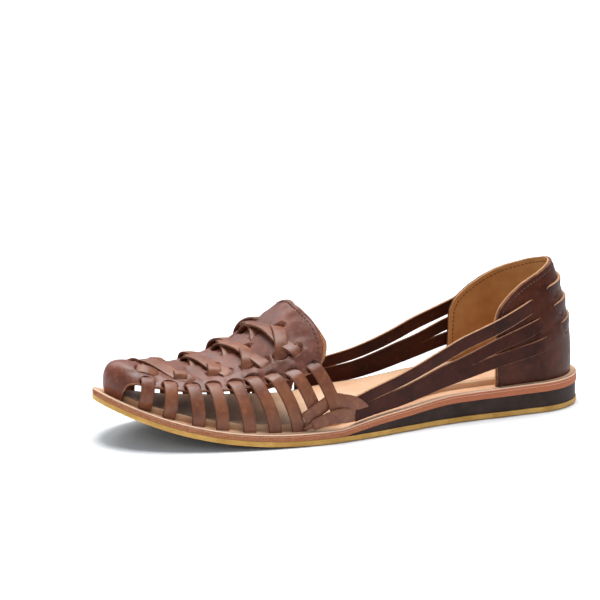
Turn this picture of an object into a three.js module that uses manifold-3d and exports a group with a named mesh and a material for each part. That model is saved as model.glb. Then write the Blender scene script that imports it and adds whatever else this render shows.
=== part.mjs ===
// Huarache sandal, left shoe. Millimetres, +Z up, toe towards -X, lateral side towards -Y.
// The sole layers and the upper are worked out from one last: its sections are short tables of
// stations, measured from the back of the heel towards the toe.
import * as THREE from 'three';
import { mergeVertices } from 'three/addons/utils/BufferGeometryUtils.js';
import Module from 'manifold-3d';

// ---------- driving dimensions ----------
const LENGTH = 262; // outsole, heel to toe
const HEEL_X = 131; // X of the back of the heel
const HEEL_CAP = 34; // length of the rounded heel in plan
const TOE_CAP = 84; // length of the rounded toe in plan
const TOE_EXPONENT = 2; // 2 gives an oval toe
const OUTSOLE_THICKNESS = 3;
const TOE_SPRING = 20.6; // lift of the outsole at the tip
const FLAT_TO = 157; // outsole lies flat from the heel to here
const SPRING_EXPONENT = 2.65;
const INSOLE_THICKNESS = 3;
const INSOLE_INSET = 9.2; // from the sole's rim
const GAP = 0.3; // between neighbouring pieces

const UPPER_INSET = 4.6; // face of the vamp panel, from the sole's rim
const VAMP_END = 257.6; // tip of the vamp panel
const VAMP_TOE_CAP = 67.6; // length of the rounded toe of the vamp panel
const VAMP_TOE_EXPONENT = 1.85;
const VAMP_NOSE = 17; // length over which the vamp rises at the toe
const NOSE_EXPONENT = 2.8;
const TOE_TUCK = 1.2; // the toe draws in this far at its foot
const TUCK_HEIGHT = 4; // height over which the foot swells out
const TUCK_FROM = 222; // the tuck grows from here
const TUCK_FULL = 250; // to here
const SECTION_EXPONENT = 2.25; // fullness of the vamp's cross-sections
const CROWN_SHIFT = 4; // instep ridge lies this far to the medial side
const CROWN_FADE = 60; // length over which the shift fades out at the toe
const PANEL_THICKNESS = 2;

const WALL_INSET = 5.6; // inner face of the heel counter, from the sole's rim
const COUNTER_THICKNESS = 2.2;
const COUNTER_LEAN_BACK = 10.5; // inward lean at the top, at the back of the heel
const COUNTER_LEAN_SIDE = 7;
const COUNTER_BULGE = 0.8;
const COUNTER_HEIGHT = 57; // height at which the leans are measured
const HEEL_TURN = 38; // length along the wall over which the back lean fades
const WALL_TO = 190; // the wall's path runs from here on one side to here on the other

const SIDE_STRAP = { width: 7.4, thickness: 2.2 };
const CROSS_STRAP = { width: 7.2, thickness: 2.2 };
const STRAP_STEPS = { side: 6, crossed: 5, keeper: 5, quarter: 40, plait: 2 };
const QUARTER_STRAP = { width: 7.4, thickness: 1.6 };
const STRAP_ON_COUNTER = 3.3; // middle of a strap that lies on the counter

// ---------- the last: section tables ----------
const SOLE_SECTIONS = [
  { at: 0, halfWidth: 31.5, centre: 0 },
  { at: 35, halfWidth: 31.5, centre: 0 },
  { at: 50, halfWidth: 31.5, centre: -0.5 },
  { at: 80, halfWidth: 30.8, centre: -2 },
  { at: 95, halfWidth: 31.2, centre: -3.4 },
  { at: 110, halfWidth: 32.8, centre: -4.8 },
  { at: 130, halfWidth: 36.6, centre: -5.2 },
  { at: 155, halfWidth: 41.2, centre: -4 },
  { at: 175, halfWidth: 43.8, centre: -0.8 },
  { at: 200, halfWidth: 44.8, centre: 2.8 },
  { at: 220, halfWidth: 44.8, centre: 4.5 },
  { at: 240, halfWidth: 44.8, centre: 5.4 },
  { at: 254, halfWidth: 44.8, centre: 6.2 },
  { at: 262, halfWidth: 44.8, centre: 6.6 },
];
const SOLE_LAYERS = [
  { at: 0, wedge: 8.2, midsole: 5 },
  { at: 85, wedge: 7.4, midsole: 4.5 },
  { at: 100, wedge: 6.2, midsole: 4.3 },
  { at: 115, wedge: 4.6, midsole: 4.2 },
  { at: 130, wedge: 3.3, midsole: 4.1 },
  { at: 145, wedge: 1.1, midsole: 3.9 },
  { at: 152, wedge: 0, midsole: 3.9 },
  { at: 200, wedge: 0, midsole: 3.5 },
  { at: 262, wedge: 0, midsole: 3.3 },
];
const WEDGE_END = 148;
const WEDGE_INSET = 0.8;
const VAMP_HEIGHTS = [
  { at: 140, height: 66 },
  { at: 155, height: 59.5 },
  { at: 175, height: 45 },
  { at: 195, height: 31.5 },
  { at: 215, height: 24 },
  { at: 235, height: 20.5 },
  { at: 250, height: 19.5 },
  { at: 262, height: 18 },
];
// lower border of the vamp panel: angle from the crown, 90 at the sole
const PANEL_BORDER = [
  { at: 155, angle: 50 },
  { at: 156.5, angle: 55.5 },
  { at: 159, angle: 59.5 },
  { at: 164, angle: 61.3 },
  { at: 172, angle: 60 },
  { at: 188, angle: 54 },
  { at: 200, angle: 50.5 },
  { at: 215, angle: 48.5 },
  { at: 228, angle: 49.5 },
  { at: 238, angle: 52 },
  { at: 246, angle: 55.5 },
  { at: 250, angle: 60 },
  { at: 252.5, angle: 74 },
  { at: 254, angle: 90 },
  { at: 262, angle: 90 },
];
// the panel's border lies lower on the medial side by these angles
const MEDIAL_DROP = [
  { at: 178, angle: 0 },
  { at: 192, angle: 6 },
  { at: 240, angle: 6 },
  { at: 250, angle: 0 },
];
// slant of the tab's rear edge: shift towards the toe by the angle from the crown
const TAB_SLANT = [
  { angle: 0, shift: 3.8 },
  { angle: 9, shift: 4.1 },
  { angle: 21, shift: 3.3 },
  { angle: 29, shift: 2.2 },
  { angle: 36, shift: 0.8 },
  { angle: 43, shift: -0.5 },
  { angle: 48, shift: -1.4 },
  { angle: 60, shift: -1.6 },
];
const TAB_TO = 178; // the slant fades out here
// height of the counter's top edge along the wall, 0 at the back of the heel
const COUNTER_EDGE = [
  { along: 0, height: 58.6 },
  { along: 18, height: 58.3 },
  { along: 29, height: 56.9 },
  { along: 39, height: 54.5 },
  { along: 48, height: 51 },
  { along: 55, height: 47 },
  { along: 61, height: 42.5 },
  { along: 65, height: 38 },
  { along: 67, height: 33 },
];
const COUNTER_FRONT = 67;
const COLLAR_DROP = 3.8; // the collar lies lower on the medial side
const DROP_START = -8; // the drop begins here along the wall
const DROP_END = 34; // and is complete here

// ---------- strap tables ----------
// side straps: slot in the panel (station, angle) and foot at the midsole
const SIDE_STRAPS = [
  { slotAt: 241, slotAngle: 37, footAt: 245 },
  { slotAt: 231, slotAngle: 36, footAt: 235 },
  { slotAt: 221, slotAngle: 37, footAt: 222 },
  { slotAt: 211, slotAngle: 37, footAt: 211 },
  { slotAt: 201, slotAngle: 40, footAt: 198 },
  { slotAt: 193, slotAngle: 41, footAt: 185 },
  { slotAt: 184, slotAngle: 47, footAt: 173 },
  { slotAt: 174, slotAngle: 52, footAt: 162 },
  { slotAt: 164, slotAngle: 55, footAt: 153 },
];
// crossed straps: from a slot at the side of the panel over the ridge, held by a short keeper
const CROSSINGS = [
  {
    slotAt: 168, slotAngle: 46, bendAt: 174, bendAngle: 29, ridgeAt: 177,
    keeperTop: 13, keeperFoot: 43, keeperAt: 171, keeperFootAt: 177,
  },
  {
    slotAt: 183, slotAngle: 41, bendAt: 188, bendAngle: 22, ridgeAt: 191,
    keeperTop: 10, keeperFoot: 35, keeperAt: 187, keeperFootAt: 192,
  },
  {
    slotAt: 200, slotAngle: 34, bendAt: 205.5, bendAngle: 20, ridgeAt: 208,
    keeperTop: 12, keeperFoot: 31, keeperAt: 204, keeperFootAt: 208,
  },
  {
    slotAt: 219, slotAngle: 35, bendAt: 226, bendAngle: 25, ridgeAt: 233,
    keeperTop: 17, keeperFoot: 33, keeperAt: 222.5, keeperFootAt: 225,
  },
];
// quarter straps: height of the middle line at marks along the wall, the same on both sides
const QUARTER_MARKS = { plait: 150, ball: 126, waist: 101, middle: 84, front: 67, round: 15 };
const QUARTER_WIDTHS = { plait: 6, ball: 6.2, waist: 6.4, slot: 6.6, middle: 6.8, front: 7 };
const QUARTER_LIFTS = { plait: 2.6, waist: 2.4, middle: 2.9, hidden: -1.3 };
const SLOT_RUN = 3; // a strap sinks through the counter over twice this length
const SLOT_RISE = 1.2; // and climbs by twice this
const BACK_RISE = 0.4;
const QUARTER_STRAPS = [
  {
    plait: 10.2, ball: 14.2, waist: 19.5, front: 30.5, slot: 37.6,
    back: 44, heel: 47, slotAlong: 49, backAlong: 35,
  },
  {
    plait: 5.4, ball: 7.4, waist: 12.4, front: 21.5, slot: 28.8,
    back: 34.6, heel: 37, slotAlong: 44, backAlong: 31,
  },
  {
    plait: 3.8, ball: 4.4, waist: 5.9, front: 13.6, slot: 19.2,
    back: 24.6, heel: 27, slotAlong: 40, backAlong: 28,
  },
];
// plait beside the ball: short lengths of strap that lie over the last two side straps
const PLAIT_BITS = [
  { from: 166, fromHeight: 14.5, to: 147, toHeight: 9, lift: 3.8, width: 9 },
  { from: 172, fromHeight: 4, to: 152, toHeight: 6, lift: 2.4, width: 7.4 },
  { from: 184, fromHeight: 11, to: 164, toHeight: 5, lift: 3, width: 7.4 },
];

// ---------- helpers ----------
// monotone cubic through the rows of a table, with named columns
function column(rows, key, name) {
  const x = rows.map((row) => row[key]);
  const y = rows.map((row) => row[name]);
  const slope = x.slice(1).map((value, i) => (y[i + 1] - y[i]) / (value - x[i]));
  const tangent = x.map((_, i) => {
    if (i === 0) return slope[0];
    if (i === x.length - 1) return slope[i - 1];
    if (slope[i - 1] * slope[i] <= 0) return 0;
    return (2 * slope[i - 1] * slope[i]) / (slope[i - 1] + slope[i]);
  });
  return (value) => {
    if (value <= x[0]) return y[0];
    if (value >= x[x.length - 1]) return y[y.length - 1];
    let i = 0;
    while (value > x[i + 1]) i += 1;
    const h = x[i + 1] - x[i];
    const t = (value - x[i]) / h;
    const rise = y[i + 1] - y[i];
    return y[i] + t * t * (3 - 2 * t) * rise
      + h * t * (1 - t) * ((1 - t) * tangent[i] - t * tangent[i + 1]);
  };
}

const clamp01 = (value) => Math.min(Math.max(value, 0), 1);

const soleHalf = column(SOLE_SECTIONS, 'at', 'halfWidth');
const centreLine = column(SOLE_SECTIONS, 'at', 'centre');
const wedgeThickness = column(SOLE_LAYERS, 'at', 'wedge');
const midsoleThickness = column(SOLE_LAYERS, 'at', 'midsole');
const vampHeight = column(VAMP_HEIGHTS, 'at', 'height');
const panelBorder = column(PANEL_BORDER, 'at', 'angle');
const medialDrop = column(MEDIAL_DROP, 'at', 'angle');
const tabShift = column(TAB_SLANT, 'angle', 'shift');
const lateralCollar = column(COUNTER_EDGE, 'along', 'height');

function counterEdge(along) {
  const down = clamp01((along - DROP_START) / (DROP_END - DROP_START));
  return lateralCollar(Math.abs(along)) - COLLAR_DROP * down * down * (3 - 2 * down);
}

// half width of the plan outline, drawn in from the rim by an inset
function planHalf(at, inset) {
  const heel = clamp01((HEEL_CAP - at) / (HEEL_CAP - inset));
  const toe = clamp01((at - (LENGTH - TOE_CAP)) / (TOE_CAP - inset));
  const round = Math.sqrt(1 - heel * heel) * (1 - toe ** TOE_EXPONENT) ** (1 / TOE_EXPONENT);
  return (soleHalf(at) - inset) * round;
}

function outsoleBottom(at) {
  return TOE_SPRING * clamp01((at - FLAT_TO) / (LENGTH - FLAT_TO)) ** SPRING_EXPONENT;
}

const wedgeBottom = (at) => outsoleBottom(at) + OUTSOLE_THICKNESS;
const midsoleBottom = (at) => wedgeBottom(at) + wedgeThickness(at);
const midsoleTop = (at) => midsoleBottom(at) + midsoleThickness(at);

// stations from heel to toe, close together at the two rounded ends
function stations(from, to, steps, heelRound, toeRound) {
  const list = [];
  for (let i = 0; i <= steps.heel; i += 1) {
    list.push(from + heelRound * (1 - Math.cos((i / steps.heel) * Math.PI / 2)));
  }
  for (let i = 1; i < steps.middle; i += 1) {
    list.push(THREE.MathUtils.lerp(from + heelRound, to - toeRound, i / steps.middle));
  }
  for (let i = steps.toe; i >= 0; i -= 1) {
    list.push(to - toeRound * (1 - Math.cos((i / steps.toe) * Math.PI / 2)));
  }
  return list;
}

// a closed mesh from a list of points and a list of index triples, turned to face outwards
function meshGeometry(points, triangles) {
  const volume = triangles.reduce((sum, [a, b, c]) => {
    const [p, q, r] = [points[a], points[b], points[c]];
    return sum + p[0] * (q[1] * r[2] - q[2] * r[1]) - p[1] * (q[0] * r[2] - q[2] * r[0])
      + p[2] * (q[0] * r[1] - q[1] * r[0]);
  }, 0);
  if (volume < 0) triangles.forEach((triangle) => triangle.reverse());
  const geometry = new THREE.BufferGeometry();
  geometry.setAttribute('position', new THREE.Float32BufferAttribute(points.flat(), 3));
  geometry.setIndex(triangles.flat());
  return geometry;
}

// closed tube of quads: rings of equal size, capped at both ends
function ringSolid(rings) {
  const size = rings[0].length;
  const triangles = [];
  for (let i = 0; i + 1 < rings.length; i += 1) {
    for (let j = 0; j < size; j += 1) {
      const a = i * size + j;
      const b = i * size + ((j + 1) % size);
      triangles.push([a, b, a + size], [b, b + size, a + size]);
    }
  }
  const last = (rings.length - 1) * size;
  for (let j = 1; j + 1 < size; j += 1) {
    triangles.push([0, j + 1, j], [last, last + j, last + j + 1]);
  }
  return meshGeometry(rings.flat(), triangles);
}

// a flat layer of the sole between two heights, drawn in from the rim
function soleLayer({ from, to, inset, bottom, top, heelRound, toeRound, steps }) {
  const rings = stations(from, to, steps, heelRound, toeRound).map((at) => {
    const x = HEEL_X - at;
    const half = Math.max(planHalf(at, inset), 0.4);
    const lateral = centreLine(at) - half;
    const medial = centreLine(at) + half;
    return [
      [x, lateral, bottom(at)],
      [x, lateral, top(at)],
      [x, medial, top(at)],
      [x, medial, bottom(at)],
    ];
  });
  return ringSolid(rings);
}

// ---------- surfaces of the last ----------
// share of the vamp's height left as it rounds down to the toe
function noseRise(at, length) {
  const nose = clamp01((at - (VAMP_END - VAMP_NOSE)) / length);
  return (1 - nose ** NOSE_EXPONENT) ** (1 / NOSE_EXPONENT);
}

// vamp: station from the heel, angle from the crown (minus is lateral), lift off the surface
function vampPoint(at, angle, offset) {
  const level = Math.abs(Math.cos(THREE.MathUtils.degToRad(angle))) ** (2 / SECTION_EXPONENT);
  const above = vampHeight(at) * level * noseRise(at, VAMP_NOSE);
  const growth = clamp01((at - TUCK_FROM) / (TUCK_FULL - TUCK_FROM));
  const lift = offset - TOE_TUCK * growth * growth * (3 - 2 * growth) * Math.exp(-above / TUCK_HEIGHT);
  const end = VAMP_END + lift;
  const shifted = at + lift * clamp01((at - 235) / (VAMP_END - 235)) ** 2;
  const toe = clamp01((shifted - (VAMP_END - VAMP_TOE_CAP)) / (end - VAMP_END + VAMP_TOE_CAP));
  const half = (soleHalf(shifted) - UPPER_INSET + lift)
    * (1 - toe ** VAMP_TOE_EXPONENT) ** (1 / VAMP_TOE_EXPONENT);
  const height = (vampHeight(shifted) + lift) * noseRise(shifted, end - VAMP_END + VAMP_NOSE);
  const turn = THREE.MathUtils.degToRad(angle);
  const side = Math.sin(turn);
  const rise = Math.cos(turn);
  const shift = CROWN_SHIFT * clamp01((VAMP_END - at) / CROWN_FADE) * rise * rise;
  return new THREE.Vector3(
    HEEL_X - shifted,
    centreLine(shifted) + half * Math.sign(side) * Math.abs(side) ** (2 / SECTION_EXPONENT) + shift,
    midsoleTop(shifted) + GAP + height * Math.sign(rise) * Math.abs(rise) ** (2 / SECTION_EXPONENT),
  );
}

// the wall's path on the sole, from the lateral side round the heel to the medial side
const wallPath = (() => {
  const half = [];
  for (let i = 0; i <= 40; i += 1) {
    half.push(WALL_INSET + (HEEL_CAP - WALL_INSET) * (1 - Math.cos((i / 40) * Math.PI / 2)));
  }
  for (let at = HEEL_CAP + 3; at <= WALL_TO; at += 3) half.push(at);
  const lateral = half.map((at) => [at, centreLine(at) - planHalf(at, WALL_INSET)]);
  const medial = half.map((at) => [at, centreLine(at) + planHalf(at, WALL_INSET)]);
  const points = [...lateral.reverse(), ...medial.slice(1)];
  const along = [0];
  for (let i = 1; i < points.length; i += 1) {
    along.push(along[i - 1] + Math.hypot(points[i][0] - points[i - 1][0], points[i][1] - points[i - 1][1]));
  }
  const middle = along[lateral.length - 1];
  return { points, along: along.map((value) => value - middle) };
})();

function wallFoot(along) {
  const { points, along: marks } = wallPath;
  let i = 0;
  while (i + 2 < marks.length && along > marks[i + 1]) i += 1;
  const t = (along - marks[i]) / (marks[i + 1] - marks[i]);
  return [
    THREE.MathUtils.lerp(points[i][0], points[i + 1][0], t),
    THREE.MathUtils.lerp(points[i][1], points[i + 1][1], t),
  ];
}

// wall: distance along it from the back of the heel (minus is lateral), height, lift outwards
function wallPoint(along, height, lift) {
  const [at, y] = wallFoot(along);
  const [atBefore, yBefore] = wallFoot(along - 1.5);
  const [atAfter, yAfter] = wallFoot(along + 1.5);
  const run = Math.hypot(atAfter - atBefore, yAfter - yBefore);
  const outX = (yAfter - yBefore) / run;
  const outY = (atAfter - atBefore) / run;
  const backShare = Math.exp(-((along / HEEL_TURN) ** 2));
  const leanTop = THREE.MathUtils.lerp(COUNTER_LEAN_SIDE, COUNTER_LEAN_BACK, backShare);
  const level = clamp01(height / COUNTER_HEIGHT);
  const lean = leanTop * (height / COUNTER_HEIGHT) ** 2 - COUNTER_BULGE * Math.sin(Math.PI * level);
  const out = lift - lean;
  return new THREE.Vector3(HEEL_X - at + outX * out, y + outY * out, midsoleTop(at) + GAP + height);
}

// ---------- pieces of the upper ----------
// a shell over a grid of points, rows by columns, between its outer and inner faces
function shell(rows, columns, outer, inner) {
  const points = [];
  const count = rows * columns;
  for (const face of [outer, inner]) {
    for (let i = 0; i < rows; i += 1) {
      for (let j = 0; j < columns; j += 1) points.push(face(i, j).toArray());
    }
  }
  const triangles = [];
  const quad = (a, b, c, d) => triangles.push([a, b, c], [a, c, d]);
  const id = (i, j) => i * columns + j;
  for (let i = 0; i + 1 < rows; i += 1) {
    for (let j = 0; j + 1 < columns; j += 1) {
      quad(id(i, j), id(i, j + 1), id(i + 1, j + 1), id(i + 1, j));
      quad(count + id(i, j), count + id(i + 1, j), count + id(i + 1, j + 1), count + id(i, j + 1));
    }
  }
  for (let i = 0; i + 1 < rows; i += 1) {
    const end = columns - 1;
    quad(id(i, 0), id(i + 1, 0), count + id(i + 1, 0), count + id(i, 0));
    quad(id(i + 1, end), id(i, end), count + id(i, end), count + id(i + 1, end));
  }
  for (let j = 0; j + 1 < columns; j += 1) {
    const end = rows - 1;
    quad(id(0, j + 1), id(0, j), count + id(0, j), count + id(0, j + 1));
    quad(id(end, j), id(end, j + 1), count + id(end, j + 1), count + id(end, j));
  }
  return meshGeometry(points, triangles);
}

// a strap of real width and thickness that follows a surface through rows of
// { u, v, lift, width }
function strap(surface, rows, { width, thickness }, steps, margin = 0) {
  const route = new THREE.CatmullRomCurve3(
    rows.map((row) => new THREE.Vector3(row.u, row.v, row.lift * 10)),
    false,
    'centripetal',
  );
  const widths = rows.map((row) => row.width ?? width);
  const place = (t, raise = 0) => {
    const p = route.getPoint(clamp01(t));
    return surface(p.x, p.y, p.z / 10 + raise);
  };
  const rings = [];
  for (let i = 0; i <= steps; i += 1) {
    const t = i / steps;
    const share = t * (rows.length - 1);
    const k = Math.min(Math.floor(share), rows.length - 2);
    const wide = THREE.MathUtils.lerp(widths[k], widths[k + 1], share - k) / 2 + margin;
    const tangent = place(t + 0.01).sub(place(t - 0.01)).normalize();
    const raised = place(t, 0.5).sub(place(t, -0.5)).normalize();
    const side = new THREE.Vector3().crossVectors(raised, tangent).normalize();
    const normal = new THREE.Vector3().crossVectors(tangent, side);
    const centre = place(t);
    if (margin && i === 0) centre.addScaledVector(tangent, -margin);
    if (margin && i === steps) centre.addScaledVector(tangent, margin);
    const half = thickness / 2 + margin;
    const corner = (a, b) => centre.clone().addScaledVector(side, a).addScaledVector(normal, b);
    rings.push([
      corner(-wide, -half).toArray(),
      corner(wide, -half).toArray(),
      corner(wide, half).toArray(),
      corner(-wide, half).toArray(),
    ]);
  }
  return ringSolid(rings);
}

// ---------- solids ----------
const wasm = await Module();
wasm.setup();

function toSolid(geometry) {
  const bare = geometry.clone();
  bare.deleteAttribute('normal');
  bare.deleteAttribute('uv');
  const merged = mergeVertices(bare, 1e-4);
  const index = merged.getIndex().array;
  const triangles = [];
  for (let i = 0; i < index.length; i += 3) {
    const [a, b, c] = [index[i], index[i + 1], index[i + 2]];
    if (a !== b && b !== c && c !== a) triangles.push(a, b, c);
  }
  return new wasm.Manifold(new wasm.Mesh({
    numProp: 3,
    vertProperties: new Float32Array(merged.getAttribute('position').array),
    triVerts: new Uint32Array(triangles),
  }));
}

function toGeometry(solid) {
  const mesh = solid.getMesh();
  const geometry = new THREE.BufferGeometry();
  geometry.setAttribute('position', new THREE.BufferAttribute(mesh.vertProperties, 3));
  geometry.setIndex(new THREE.BufferAttribute(mesh.triVerts, 1));
  return geometry;
}

const joined = (solids) => solids.reduce((whole, solid) => whole.add(solid));

// the largest body of a join, without the slivers that touching faces leave
const SLIVER = 0.03;
const largest = (solid) => solid.simplify(SLIVER).decompose()
  .reduce((a, b) => (b.volume() > a.volume() ? b : a));

// ---------- sole ----------
const SOLE_STEPS = { heel: 9, middle: 15, toe: 12 };

const outsoleGeometry = soleLayer({
  from: 0, to: LENGTH, inset: 0, heelRound: HEEL_CAP, toeRound: TOE_CAP, steps: SOLE_STEPS,
  bottom: outsoleBottom,
  top: wedgeBottom,
});
const wedgeGeometry = soleLayer({
  from: WEDGE_INSET, to: WEDGE_END, inset: WEDGE_INSET, heelRound: HEEL_CAP - WEDGE_INSET, toeRound: 6,
  steps: { heel: 8, middle: 14, toe: 2 },
  bottom: (at) => wedgeBottom(at) + GAP,
  top: midsoleBottom,
});
const midsoleGeometry = soleLayer({
  from: 0, to: LENGTH, inset: 0, heelRound: HEEL_CAP, toeRound: TOE_CAP, steps: SOLE_STEPS,
  bottom: (at) => midsoleBottom(at) + GAP,
  top: midsoleTop,
});
const insoleGeometry = soleLayer({
  from: INSOLE_INSET, to: LENGTH - INSOLE_INSET, inset: INSOLE_INSET, steps: SOLE_STEPS,
  heelRound: HEEL_CAP - INSOLE_INSET, toeRound: TOE_CAP - INSOLE_INSET,
  bottom: (at) => midsoleTop(at) + GAP,
  top: (at) => midsoleTop(at) + GAP + INSOLE_THICKNESS,
});
// everything below the top of the midsole, which trims the feet of straps and counter
const BELOW_MARGIN = 25;
const belowMidsole = toSolid(soleLayer({
  from: -BELOW_MARGIN, to: LENGTH + BELOW_MARGIN, inset: -BELOW_MARGIN,
  heelRound: HEEL_CAP, toeRound: TOE_CAP, steps: { heel: 8, middle: 40, toe: 16 },
  bottom: () => -BELOW_MARGIN,
  top: (at) => midsoleTop(at) + GAP,
}));

// ---------- upper ----------
function panelGeometry() {
  const rows = [155, 156.5, 159, 164, 171, 179, 187, 195, 203, 212, 221, 230, 238, 244,
    248, 250.5, 252.5, 254, 255.4, 256.6, 257.3, VAMP_END];
  const columns = 15;
  const face = (lift) => (i, j) => {
    const border = panelBorder(rows[i]);
    const angle = THREE.MathUtils.lerp(-border, border + medialDrop(rows[i]), j / (columns - 1));
    const fade = clamp01((TAB_TO - rows[i]) / (TAB_TO - rows[0]));
    return vampPoint(rows[i] + tabShift(Math.abs(angle)) * fade, angle, lift);
  };
  return shell(rows.length, columns, face(0), face(-PANEL_THICKNESS));
}

const bothSides = (build) => [-1, 1].map(build);

function sideStrap(side, { slotAt, slotAngle, footAt }) {
  const border = panelBorder(slotAt);
  const row = (angle, lift) => {
    const share = clamp01((angle - slotAngle) / (90 - slotAngle));
    return { u: THREE.MathUtils.lerp(slotAt, footAt, share), v: side * angle, lift };
  };
  const rows = [
    row(slotAngle - 4, -1.05),
    row(slotAngle + 1, -0.4),
    row(slotAngle + 6, 0.55),
    row(border + 3, 0.5),
    row((border + 90) / 2 + 4, -0.2),
    row(86, -0.7),
    row(95, -0.8),
  ];
  return strap(vampPoint, rows, SIDE_STRAP, STRAP_STEPS.side);
}

function crossedStrap(side, c) {
  const over = side < 0 ? 1.6 : 0; // the lateral strap of a pair lies on top
  const between = THREE.MathUtils.lerp(c.bendAt, c.ridgeAt, 0.6);
  const rows = [
    { u: c.slotAt - 1, v: side * (c.slotAngle + 3), lift: -1.1 },
    { u: c.slotAt + 1, v: side * (c.slotAngle - 3), lift: 0.4 },
    { u: c.bendAt, v: side * c.bendAngle, lift: 0.5 },
    { u: between, v: side * c.bendAngle * 0.4, lift: 0.5 + over / 2 },
    { u: c.ridgeAt, v: side * 2, lift: 0.5 + over },
    { u: c.ridgeAt + 1, v: -side * 8, lift: 0.2 + over },
  ];
  return strap(vampPoint, rows, CROSS_STRAP, STRAP_STEPS.crossed);
}

function keeper(side, c) {
  const middle = (c.keeperTop + c.keeperFoot) / 2;
  const at = (angle) => THREE.MathUtils.lerp(
    c.keeperAt, c.keeperFootAt, (angle - c.keeperTop) / (c.keeperFoot - c.keeperTop),
  );
  const row = (angle, lift) => ({ u: at(angle), v: side * angle, lift });
  const rows = [
    row(c.keeperTop, -1.1),
    row(c.keeperTop + 3.5, 0.7),
    row(middle, 2.1),
    row(c.keeperFoot - 3.5, 0.7),
    row(c.keeperFoot, -1.1),
  ];
  return strap(vampPoint, rows, CROSS_STRAP, STRAP_STEPS.keeper);
}

// one quarter strap runs from the plait on one side, through the counter and round the heel,
// to the plait on the other side
function quarterStrap(s, margin = 0) {
  const { middle, front, round } = QUARTER_MARKS;
  const row = (u, v, lift, width) => ({ u, v, lift, width });
  const wide = QUARTER_WIDTHS;
  const lifts = QUARTER_LIFTS;
  const half = [
    row(QUARTER_MARKS.plait, s.plait, lifts.plait, wide.plait),
    row(QUARTER_MARKS.ball, s.ball, lifts.waist, wide.ball),
    row(QUARTER_MARKS.waist, s.waist, lifts.waist, wide.waist),
    row(middle, THREE.MathUtils.lerp(s.waist, s.front, 0.5), lifts.middle, wide.middle),
    row(front, s.front, STRAP_ON_COUNTER, wide.front),
    row(s.slotAlong + SLOT_RUN, s.slot - SLOT_RISE, STRAP_ON_COUNTER, wide.front),
    row(s.slotAlong - SLOT_RUN, s.slot + SLOT_RISE, lifts.hidden, wide.slot),
    row(s.backAlong + SLOT_RUN, s.back - SLOT_RISE, lifts.hidden, wide.slot),
    row(s.backAlong - SLOT_RUN, s.back + BACK_RISE, STRAP_ON_COUNTER, wide.slot),
    row(round, THREE.MathUtils.lerp(s.back, s.heel, 0.7), STRAP_ON_COUNTER, wide.middle),
  ];
  const lateral = half.map((entry) => ({ ...entry, u: -entry.u }));
  const rows = [...lateral, row(0, s.heel, STRAP_ON_COUNTER, wide.middle), ...half.reverse()];
  return strap(wallPoint, rows, QUARTER_STRAP, STRAP_STEPS.quarter, margin);
}

function plaitBit(side, bit) {
  const rows = [0, 0.5, 1].map((t) => ({
    u: side * THREE.MathUtils.lerp(bit.from, bit.to, t),
    v: THREE.MathUtils.lerp(bit.fromHeight, bit.toHeight, t),
    lift: bit.lift - (t === 0.5 ? 0 : 1),
  }));
  return strap(wallPoint, rows, { width: bit.width, thickness: SIDE_STRAP.thickness }, STRAP_STEPS.plait);
}

const upperPieces = [
  panelGeometry(),
  ...bothSides((side) => SIDE_STRAPS.map((row) => sideStrap(side, row))).flat(),
  ...bothSides((side) => CROSSINGS.map((row) => crossedStrap(side, row))).flat(),
  ...bothSides((side) => CROSSINGS.map((row) => keeper(side, row))).flat(),
  ...bothSides((side) => PLAIT_BITS.map((bit) => plaitBit(side, bit))).flat(),
  ...QUARTER_STRAPS.map((row) => quarterStrap(row)),
];
const upperSolid = largest(joined(upperPieces.map(toSolid)).subtract(belowMidsole));

// ---------- heel counter ----------
function counterGeometry() {
  const rows = 27;
  const columns = 7;
  const face = (lift) => (i, j) => {
    const along = THREE.MathUtils.lerp(-COUNTER_FRONT, COUNTER_FRONT, i / (rows - 1));
    return wallPoint(along, THREE.MathUtils.lerp(-2, counterEdge(along), j / (columns - 1)), lift);
  };
  return shell(rows, columns, face(COUNTER_THICKNESS), face(0));
}

const strapRoom = joined(QUARTER_STRAPS.map((row) => toSolid(quarterStrap(row, GAP))));
const counterSolid = largest(toSolid(counterGeometry()).subtract(strapRoom).subtract(belowMidsole));

// ---------- the sandal ----------
// the origin lies midway between the sole's widest points
outsoleGeometry.computeBoundingBox();
const sandal = new THREE.Group();
sandal.position.y = -(outsoleGeometry.boundingBox.min.y + outsoleGeometry.boundingBox.max.y) / 2;

function addPiece(name, geometry, color, roughness) {
  const material = new THREE.MeshStandardMaterial({ color, roughness, metalness: 0 });
  const mesh = new THREE.Mesh(geometry, material);
  mesh.name = name;
  sandal.add(mesh);
}

addPiece('outsole', outsoleGeometry, 0xc79a56, 0.75);
addPiece('heel_wedge', wedgeGeometry, 0x3a2c28, 0.8);
addPiece('midsole', midsoleGeometry, 0xb87a4e, 0.7);
addPiece('insole', insoleGeometry, 0xcea480, 0.65);
addPiece('upper', toGeometry(upperSolid), 0x744635, 0.45);
addPiece('heel_counter', toGeometry(counterSolid), 0x5a3426, 0.45);

export default sandal;
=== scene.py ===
"""Huarache sandal, left shoe: the visual model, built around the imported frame.

Sizes are in millimetres on the last and become metres where a mesh is made. Stations run from
the back of the heel towards the toe, and the lateral side lies towards -Y.
"""
import logging
import math
from dataclasses import dataclass, field
from enum import Enum
from typing import Any, Callable, Optional, Sequence

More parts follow.
